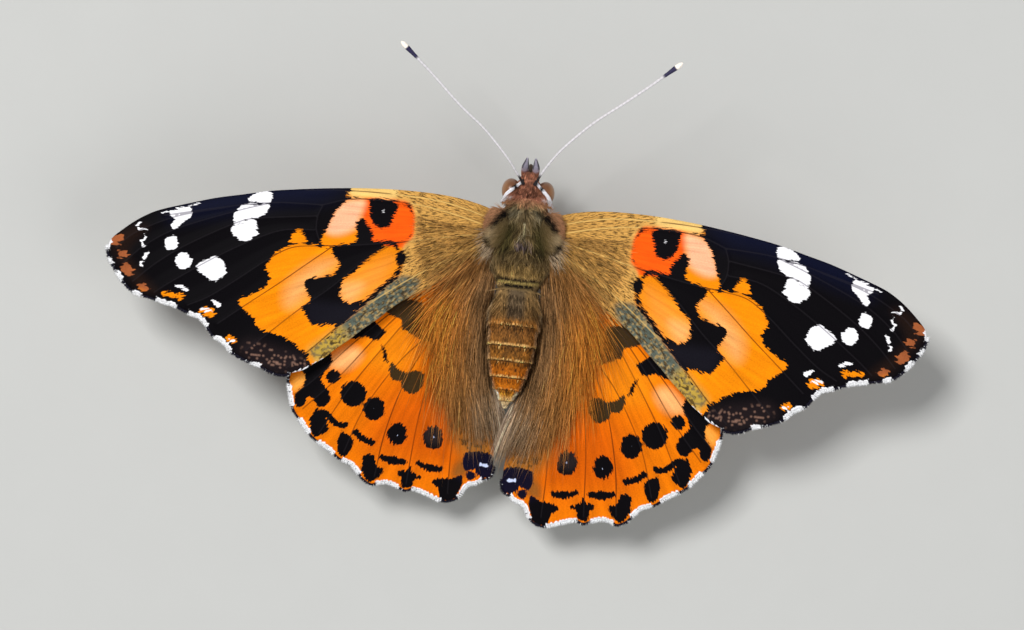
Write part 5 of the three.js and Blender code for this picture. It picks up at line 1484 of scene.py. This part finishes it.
class BUTTERFLY_OT_eyes(PieceOperator, bpy.types.Operator):
    """Adds the faceted eyes and the white and black rims over them"""

    bl_idname = "butterfly.eyes"
    bl_label = "Eyes"

    def make(self, scene):
        finish = eye_finish()
        rim_finish = fur_finish("eye_rim_scales", grain=0.08)
        for side, (sign, _, _) in SIDES.items():
            centre = np.array(EYE_CENTRE) * (sign, 1, 1)
            rows, columns = 41, 64
            points = ellipsoid_points(centre, EYE_HALF, rows, columns, -0.497, 0.497)
            outer = ease((points[:, 0] * sign - 1.3) / 0.8) * 0.7 + ease((points[:, 1] - 4.4) / 0.6) * 0.3
            shape = Shape()
            shape.add(points, *ring_faces(rows, columns), outer=outer)
            shape.piece(f"eye_ball_{side}", [finish], "eye", [f"eye_{side}"])
            self.rim(side, sign, rim_finish)

    def rim(self, side, sign, finish):
        rng = np.random.default_rng(21)
        line = smooth_line(EYE_RIM_LINE, count=60) * (sign, 1, 1)
        s = np.linspace(0, 1, len(line))
        radii = 0.19 * np.interp(s, [0, 0.12, 0.4, 0.7, 1], [0.5, 1.0, 0.95, 0.6, 0.4])
        shape = Shape()
        shape.bar(line, radii, 12, self.rim_colours(s), 0.8)
        at, roots, out, along, places = along_bar(rng, line, radii, 700)
        out[:, 2] = np.abs(out[:, 2])
        paths = bent_paths(roots, -along, out * 0.2, rng.uniform(0.15, 0.3, len(at)), 4, 0.8)
        shape.hairs(paths, 0.04, places, self.rim_colours(at))
        x, y = rng.uniform((0.6, 2.9), (1.75, 4.4), (2600, 2)).T
        kept = inside(x, y, np.array(EYE_LASH_AREA))
        x, y = x[kept], y[kept]
        reach = ((x - EYE_CENTRE[0]) / EYE_HALF[0]) ** 2 + ((y - EYE_CENTRE[1]) / EYE_HALF[1]) ** 2
        z = EYE_CENTRE[2] + EYE_HALF[2] * np.sqrt(np.maximum(1 - reach, 0.25)) + 0.02
        roots = np.stack([x * sign, y, z], axis=1)
        heading = np.array((0.75 * sign, -0.6, -0.1)) + rng.normal(0, 0.22, roots.shape)
        lifts = np.array((0, 0, 1.0)) * rng.uniform(0.2, 0.7, len(x))[:, None]
        paths = bent_paths(roots, heading, lifts, rng.uniform(0.22, 0.4, len(x)), 4, 0.8)
        tones = body_colours(*roots.T, rng) * rng.uniform(0.7, 1.3, len(x))[:, None]
        places = np.stack([0.1 + 0.4 * x, (y - 2.8) / 1.7], axis=1)
        shape.hairs(paths, 0.04, places, tones)
        shape.piece(f"eye_rim_{side}", [finish], "body")

    def rim_colours(self, s):
        return mixed("f2eff3", "0d0b0d", ease((0.07 - np.abs(s - 0.72)) / 0.04) + ease((s - 0.93) / 0.03))


class BUTTERFLY_OT_feelers(PieceOperator, bpy.types.Operator):
    """Adds the ringed feelers with their clubs"""

    bl_idname = "butterfly.feelers"
    bl_label = "Feelers"

    def make(self, scene):
        finish = shell_finish("feeler_shell")
        for side, (sign, _, _) in SIDES.items():
            plan = FEELERS[side]
            share = np.linspace(0, 1, len(plan))
            height = FEELER_HEIGHT[0] + (FEELER_HEIGHT[1] - FEELER_HEIGHT[0]) * share + 0.5 * np.sin(np.pi * share)
            route = [(x * sign, y, z) for (x, y), z in zip(plan, height)]
            line = smooth_line(route, count=430)
            s = np.linspace(0, 1, len(line))
            radii = np.interp(s, [0, 0.012, 0.03, 0.1, 0.87, 0.91, 0.95, 0.965, 0.985, 1],
                              [0.14, 0.13, 0.085, 0.09, 0.1, 0.15, 0.2, 0.215, 0.2, 0.06])
            joints = np.sin(np.pi * ((s * 44) % 1.0)) ** 0.5
            radii = radii * (0.93 + 0.1 * joints * (s < 0.9))
            pale = paint("d6d2d4") * (0.8 + 0.2 * joints)[:, None]
            tone = mixed("1c181a", pale, ease((s - 0.055) / 0.03))
            tone = mixed(tone, "241f42", ease((s - 0.875) / 0.02))
            tone = mixed(tone, "fdf3e6", ease((s - 0.955) / 0.008))
            shape = Shape()
            shape.bar(line, radii, 12, tone)
            shape.piece(f"feeler_{side}", [finish], "feeler", [f"antenna_{side}"])


class BUTTERFLY_OT_mouthparts(PieceOperator, bpy.types.Operator):
    """Adds the two furred palps and the tongue rolled up under the head"""

    bl_idname = "butterfly.mouthparts"
    bl_label = "Palps and tongue"

    def make(self, scene):
        rng = np.random.default_rng(31)
        finish = fur_finish("palp_scales", grain=0.1)
        for side, (sign, _, _) in SIDES.items():
            line = smooth_line([(x * sign, y, z) for x, y, z in PALP_LINE], count=48)
            s = np.linspace(0, 1, 48)
            radii = 0.28 * np.interp(s, [0, 0.45, 0.75, 1], [0.9, 1.0, 0.5, 0.08])
            shape = Shape()
            shape.bar(line, radii, 16, self.palp_colours(s))
            at, roots, out, along, places = along_bar(rng, line, radii, 1800, 0.02, 0.9)
            lengths = rng.uniform(0.2, 0.36, len(at)) * np.interp(at, [0, 1], [1.0, 0.7])
            paths = bent_paths(roots, along, out * 0.12, lengths, 4, 0.8)
            sideways = ease((np.abs(out[:, 0]) - 0.55) / 0.25)[:, None]
            colours = self.palp_colours(at) * (1 - 0.75 * sideways) * rng.uniform(0.7, 1.25, len(at))[:, None]
            shape.hairs(paths, 0.035, places, colours)
            shape.piece(f"furred_palp_{side}", [finish], "body", [f"palp_{side}"])
        self.tongue()

    def palp_colours(self, s):
        return mixed("8e5a44", "b4aebe", ease((s - 0.3) / 0.25))

    def tongue(self):
        t = np.linspace(0, 1, 140)
        turn = 0.5 * np.pi - 2 * np.pi * TONGUE_TURNS * (1 - t)
        coil = TONGUE_CENTRE + np.interp(t, (0, 1), TONGUE_REACH)[:, None] * compass(turn) * (-1, 1)
        line = np.column_stack([0 * t, coil])
        line = smooth_line(np.vstack([line[::6], line[-1:], TONGUE_ROOT]), count=200)
        s = np.linspace(0, 1, len(line))
        radii = (0.12 + 0.07 * ease(s * 2)) * (0.94 + 0.06 * np.abs(np.sin(s * 140)))
        shape = Shape()
        shape.bar(line, radii, 14, np.tile(paint("3a2a1c"), (len(line), 1)))
        shape.piece("rolled_tongue", [shell_finish("tongue_shell", 0.5)], "feeler", ["proboscis"])


class BUTTERFLY_OT_tegulae(PieceOperator, bpy.types.Operator):
    """Adds the furred lobes over the forewings' roots"""

    bl_idname = "butterfly.tegulae"
    bl_label = "Shoulder lobes"

    def make(self, scene):
        rng = np.random.default_rng(41)
        finish = fur_finish("lobe_fur")
        for side, (sign, _, _) in SIDES.items():
            centre = np.array(TEGULA_CENTRE) * (sign, 1, 1)
            half = np.array(TEGULA_HALF) * (0.72, 0.88, 0.55)
            rows, columns = 24, 40
            points = ellipsoid_points(centre, half, rows, columns, 0.06, 0.497)
            shape = Shape()
            shape.add(points, *ring_faces(rows, columns), coat=body_colours(*points.T) * 0.8)
            count = 3400
            e, t = np.arcsin(rng.uniform(0.1, 1, count)), rng.uniform(0, 2 * np.pi, count)
            ball = on_ball(t, e)
            roots = ball * half + centre
            out = unit(ball / half)
            heading = along_surface((0.9 * sign, -0.75, 0.0) + rng.normal(0, 0.3, (count, 3)), out)
            lifts = out * rng.uniform(0.1, 0.45, count)[:, None]
            paths = bent_paths(roots, heading, lifts, rng.uniform(0.45, 1.05, count), 5, 0.85)
            spread = roots + heading * 0.25
            colours = body_colours(*spread.T, rng) * rng.uniform(0.65, 1.35, count)[:, None]
            places = np.stack([0.02 + 0.94 * t / (2 * np.pi), 0.05 + 0.88 * e / (np.pi / 2)], axis=1)
            shape.hairs(paths, 0.036, places, colours)
            shape.piece(f"shoulder_lobe_{side}", [finish], "body", [f"tegula_{side}"])


def limb(rng, route, radii, stations, sides, colour, bristles, floor=None):
    """A tapered tube with short scales or spines, gathered as one shape."""
    line = smooth_line(route, count=stations)
    s = np.linspace(0, 1, stations)
    radius = radii(s)
    shape = Shape()
    tones = colour(s)
    shape.bar(line, radius, sides, tones, floor=floor)
    for count, length, width, lift in bristles:
        at, roots, out, along, places = along_bar(rng, line, radius, count)
        if floor is not None:
            roots[:, 2] = np.maximum(roots[:, 2], floor + 0.03)
            out[:, 2] = np.abs(out[:, 2])
        paths = bent_paths(roots, along, out * lift, length * rng.uniform(0.7, 1.2, count), 4, 0.5)
        if floor is not None:
            paths[:, :, 2] = np.maximum(paths[:, :, 2], floor + 0.02)
        colours = np.stack([np.interp(at, s, tones[:, k]) for k in range(3)], axis=1)
        colours = colours * rng.uniform(0.6, 1.4, count)[:, None]
        shape.hairs(paths, width, places, colours, 0.6)
    return shape


class BUTTERFLY_OT_legs(PieceOperator, bpy.types.Operator):
    """Adds the four walking legs with their spines and claws, and the small folded forelegs"""

    bl_idname = "butterfly.legs"
    bl_label = "Legs"

    def make(self, scene):
        rng = np.random.default_rng(51)
        finish = shell_finish("leg_shell")
        thigh_tone = lambda s: np.tile(paint("b7a48c"), (len(s), 1))
        shin_tone = lambda s: mixed("b3946a", "c9b08a", s)
        foot_tone = lambda s: paint("b8936a") * (0.75 + 0.25 * (np.sin(np.pi * ((s * 5) % 1.0)) > 0.3))[:, None]
        for side, (sign, _, _) in SIDES.items():
            for name, joints in LEGS.items():
                hip, knee, ankle, toe = (np.array(p) * (sign, 1, 1) for p in joints)
                bow = lambda a, b, lift: (a + b) / 2 + (0, 0, lift)
                thigh = limb(rng, [hip, bow(hip, knee, -0.25), knee],
                             lambda s: 0.38 - 0.1 * ease(np.abs(s - 0.35) / 0.65) - 0.12 * ease((s - 0.9) / 0.1),
                             40, 14, thigh_tone, [(700, 0.3, 0.05, 0.3)])
                thigh.piece(f"{name}_scaled_thigh_{side}", [finish], "leg", [f"{name}_thigh_{side}"])
                shin = limb(rng, [knee, bow(knee, ankle, 0.12), ankle],
                            lambda s: 0.22 - 0.03 * s + 0.05 * ease((s - 0.9) / 0.1),
                            44, 12, shin_tone, [(500, 0.22, 0.04, 0.25), (44, 0.5, 0.05, 0.9)])
                self.spurs(shin, knee, ankle)
                shin.piece(f"{name}_spined_shin_{side}", [finish], "leg", [f"{name}_shin_{side}"])
                on_floor = ankle + (toe - ankle) * 0.3
                on_floor[2] = toe[2]
                foot = limb(rng, [ankle, on_floor, bow(on_floor, toe, 0), toe],
                            lambda s: 0.15 + 0.06 * np.sqrt(np.abs((s * 5) % 1.0)),
                            60, 12, foot_tone, [(360, 0.16, 0.035, 0.25), (60, 0.26, 0.045, 0.5)], 0.0)
                self.claws(foot, ankle, toe)
                foot.piece(f"{name}_jointed_foot_{side}", [finish], "leg", [f"{name}_foot_{side}"])
            fore = limb(rng, [np.array(p) * (sign, 1, 1) for p in FORELEG],
                        lambda s: 0.26 - 0.1 * s, 40, 12, thigh_tone, [(900, 0.42, 0.045, 0.5)])
            fore.piece(f"furred_foreleg_{side}", [finish], "leg", [f"foreleg_{side}"])

    def spurs(self, shape, knee, ankle):
        down = unit(ankle - knee)
        across = unit(np.array((-down[1], down[0], 0)))
        root = knee + (ankle - knee) * 0.82
        for way in (-1, 1):
            self.thorn(shape, root, root + down * 0.4 + across * way * 0.66, 0.11)

    def claws(self, shape, ankle, toe):
        ahead = unit((toe - ankle)[:2])
        aside = np.array((-ahead[1], ahead[0]))
        for way in (-1, 1):
            end = toe[:2] + ahead * 0.4 + aside * 0.28 * way
            self.thorn(shape, np.array((*(toe[:2] - ahead * 0.1), 0.18)), np.array((*end, 0.05)), 0.08)

    def thorn(self, shape, root, tip, radius):
        line = smooth_line([root, (root + tip) / 2 + (0, 0, 0.04), tip], count=8)
        shape.bar(line, radius * np.linspace(1, 0.12, 8), 8, np.tile(paint("5a4028"), (8, 1)), floor=0.0)


def hair_bed(x, y, side):
    """Height over the plan of what the wings' long hair lies on, easing down past the forewing's rear edge."""
    _, _, pitch = SIDES[side]
    shown = chorded(y, side)
    outline = smooth_line(FORE_OUTLINE, step=0.8, closed=True)
    depth = outline_depth(x, y, outline)
    low = hind_height(np.maximum(x, 1.2), shown, pitch)
    return low + (fore_height(x, shown, pitch) - low) * ease((depth + 0.9) / 0.9)


def hair_paths(side, roots, bends, tips, lift, stations):
    """Hairs over the wings, each along a curve from its root by its bend to its tip."""
    t = np.linspace(0, 1, stations)[None, :, None]
    plan = (1 - t) ** 2 * roots[:, None] + 2 * t * (1 - t) * bends[:, None] + t ** 2 * tips[:, None]
    x, y = plan[..., 0], plan[..., 1]
    bed = hair_bed(x.ravel(), y.ravel(), side).reshape(x.shape)
    bed = np.maximum(bed, bed.min(axis=1)[:, None])
    rise = np.sin(np.pi * np.linspace(0, 1, stations) * 0.85)[None] * lift[:, None] + 0.1
    sign = SIDES[side][0]
    return np.stack([x * sign, chorded(y, side), bed + rise], axis=-1)


class BUTTERFLY_OT_wing_hair(PieceOperator, bpy.types.Operator):
    """Adds the long hair that fans back over the hindwings and the short hair at the forewings' roots"""

    bl_idname = "butterfly.wing_hair"
    bl_label = "Wing hair"

    def make(self, scene):
        look = scene.butterfly_fur
        finish = fur_finish("long_hair", grain=0.25)
        for side in SIDES:
            rng = np.random.default_rng(61 if side == "right" else 62)
            self.fans(rng, side, look, finish)
            self.tufts(rng, side, look, finish)

    def fans(self, rng, side, look, finish):
        """The long hair over the hindwing, in rows from the front to the rear."""
        count = look.wing_hair_count
        row = (len(HAIR_ROWS) - 1) * rng.uniform(0, 1, count) ** 0.75
        low = np.minimum(row.astype(int), len(HAIR_ROWS) - 2)
        part = (row - low)[:, None]
        across = rng.beta(1.0, 1.55, count)[:, None]
        table = np.array(HAIR_ROWS)
        at = lambda k: ((table[low, 0, k] * (1 - across) + table[low, 1, k] * across) * (1 - part)
                        + (table[low + 1, 0, k] * (1 - across) + table[low + 1, 1, k] * across) * part)
        roots = at(0) + rng.normal(0, 0.12, (count, 2))
        lock = (row * HAIR_LOCKS[0]).astype(int) * HAIR_LOCKS[1] + (across[:, 0] * HAIR_LOCKS[1]).astype(int)
        pulls = rng.normal(0, 1, (lock.max() + 1, 3))[lock]
        stray = (pulls[:, :2] * 0.3 + rng.normal(0, 0.22, (count, 2))) * (0.8 + across)
        bends, tips = at(1) + stray, at(2) + stray * 1.8 + rng.normal(0, 0.15, (count, 2))
        tail = (roots[:, 1] < -10.2) & (roots[:, 0] < 2.2)
        cut = rng.uniform(np.where(tail, 0.7, 0.5), 1.0)[:, None]
        bends, tips = roots + (bends - roots) * cut, roots + (tips - roots) * cut
        bends[:, 0] = np.where(tail, bends[:, 0] * 0.8 - 0.12, bends[:, 0])
        tips[:, 0] = np.where(tail, tips[:, 0] * 0.45 - 0.3, np.maximum(tips[:, 0], 0.0))
        paths = hair_paths(side, roots, bends, tips, rng.uniform(0.05, 0.7, count), 6)
        x, y = (roots + (tips - roots) * 0.4 + rng.normal(0, 0.25, (count, 2))).T
        colours = tinted(paint("b47e44"), x, y, HAIR_TINTS) * random_shades(rng, count, *LONG_HAIR_SHADES)
        colours = colours * np.exp(0.22 * pulls[:, 2:])
        widths = look.strand_width * 0.85 * rng.uniform(0.6, 1.2, count)
        places = np.stack([0.02 + 0.95 * roots[:, 0] / 8, 0.02 + 0.95 * (roots[:, 1] + 14) / 14], axis=1)
        shape = Shape()
        shape.hairs(paths, widths, np.clip(places, 0.01, 0.98), colours, 0.6)
        shape.piece(f"hindwing_hair_{side}", [finish], "body")

    def tufts(self, rng, side, look, finish):
        """Short golden hair on the forewing's root, and pale tufts between it and the thorax."""
        count = look.root_hair_count
        pale = rng.random(count) < 0.32
        one, two = rng.random((2, count))
        angle = np.radians(np.where(pale, -20 - 50 * one, 4 - 80 * one))
        reach = 1.0 + 5.5 * two ** 0.8
        fan = (1.4, 0.6) + reach[:, None] * compass(angle)
        flank = np.stack([1.95 + 0.8 * two, 0.9 - 3.5 * one], axis=1)
        roots = np.where(pale[:, None], flank, fan)
        outline = smooth_line(FORE_OUTLINE, step=0.8, closed=True)
        kept = outline_depth(roots[:, 0], roots[:, 1], outline) > np.where(pale, -1.5, 0.4)
        roots, pale = roots[kept], pale[kept]
        n = len(roots)
        angle = angle[kept] + rng.normal(0, 0.2, n)
        rear = ease((-0.5 - angle) / 0.4)
        length = np.where(pale, rng.uniform(0.6, 1.5, n), rng.uniform(0.5, 1.0, n) * (1 + 1.8 * rear))
        bends = roots + compass(angle) * length[:, None] * 0.5
        tips = bends + compass(angle - 0.2) * length[:, None] * 0.5
        paths = hair_paths(side, roots, bends, tips, rng.uniform(0.02, 0.35, n), 6)
        dark = rng.random(n) < 0.3
        colours = mixed(mixed("d4a45c", "5a4020", dark), mixed("ccb290", "4a3a2c", dark), pale)
        colours = colours * rng.uniform(0.7, 1.3, n)[:, None]
        places = np.stack([0.03 + 0.92 * roots[:, 0] / 9, 0.03 + 0.92 * (roots[:, 1] + 7) / 11], axis=1)
        shape = Shape()
        widths = look.strand_width * 0.75 * rng.uniform(0.6, 1.2, n)
        shape.hairs(paths, widths, np.clip(places, 0.01, 0.98), colours, 0.6)
        shape.piece(f"forewing_hair_{side}", [finish], "body")


OPERATORS = (BUTTERFLY_OT_stage, BUTTERFLY_OT_forewings, BUTTERFLY_OT_hindwings, BUTTERFLY_OT_fringe,
             BUTTERFLY_OT_body_skin, BUTTERFLY_OT_eyes, BUTTERFLY_OT_feelers, BUTTERFLY_OT_mouthparts,
             BUTTERFLY_OT_tegulae, BUTTERFLY_OT_legs, BUTTERFLY_OT_body_fur, BUTTERFLY_OT_wing_hair)


class BUTTERFLY_PT_pieces(bpy.types.Panel):
    """Lists the settings and the pieces"""

    bl_idname = "BUTTERFLY_PT_pieces"
    bl_label = "Butterfly"
    bl_space_type = "VIEW_3D"
    bl_region_type = "UI"
    bl_category = "Butterfly"

    def draw(self, context):
        for group in (context.scene.butterfly_wings, context.scene.butterfly_fur, context.scene.butterfly_stage):
            box = self.layout.box()
            for name in group.__annotations__:
                box.prop(group, name)
        for operator in OPERATORS:
            self.layout.operator(operator.bl_idname)


GROUPS = {"butterfly_wings": WingSettings, "butterfly_fur": FurSettings, "butterfly_stage": StageSettings}


def register():
    for kind in (*GROUPS.values(), *OPERATORS, BUTTERFLY_PT_pieces):
        bpy.utils.register_class(kind)
    for name, group in GROUPS.items():
        setattr(bpy.types.Scene, name, PointerProperty(type=group))


def unregister():
    for name in GROUPS:
        delattr(bpy.types.Scene, name)
    for kind in reversed((*GROUPS.values(), *OPERATORS, BUTTERFLY_PT_pieces)):
        bpy.utils.unregister_class(kind)


def main():
    register()
    for operator in OPERATORS:
        group, name = operator.bl_idname.split(".")
        getattr(getattr(bpy.ops, group), name)()


if __name__ == "__main__":
    main()
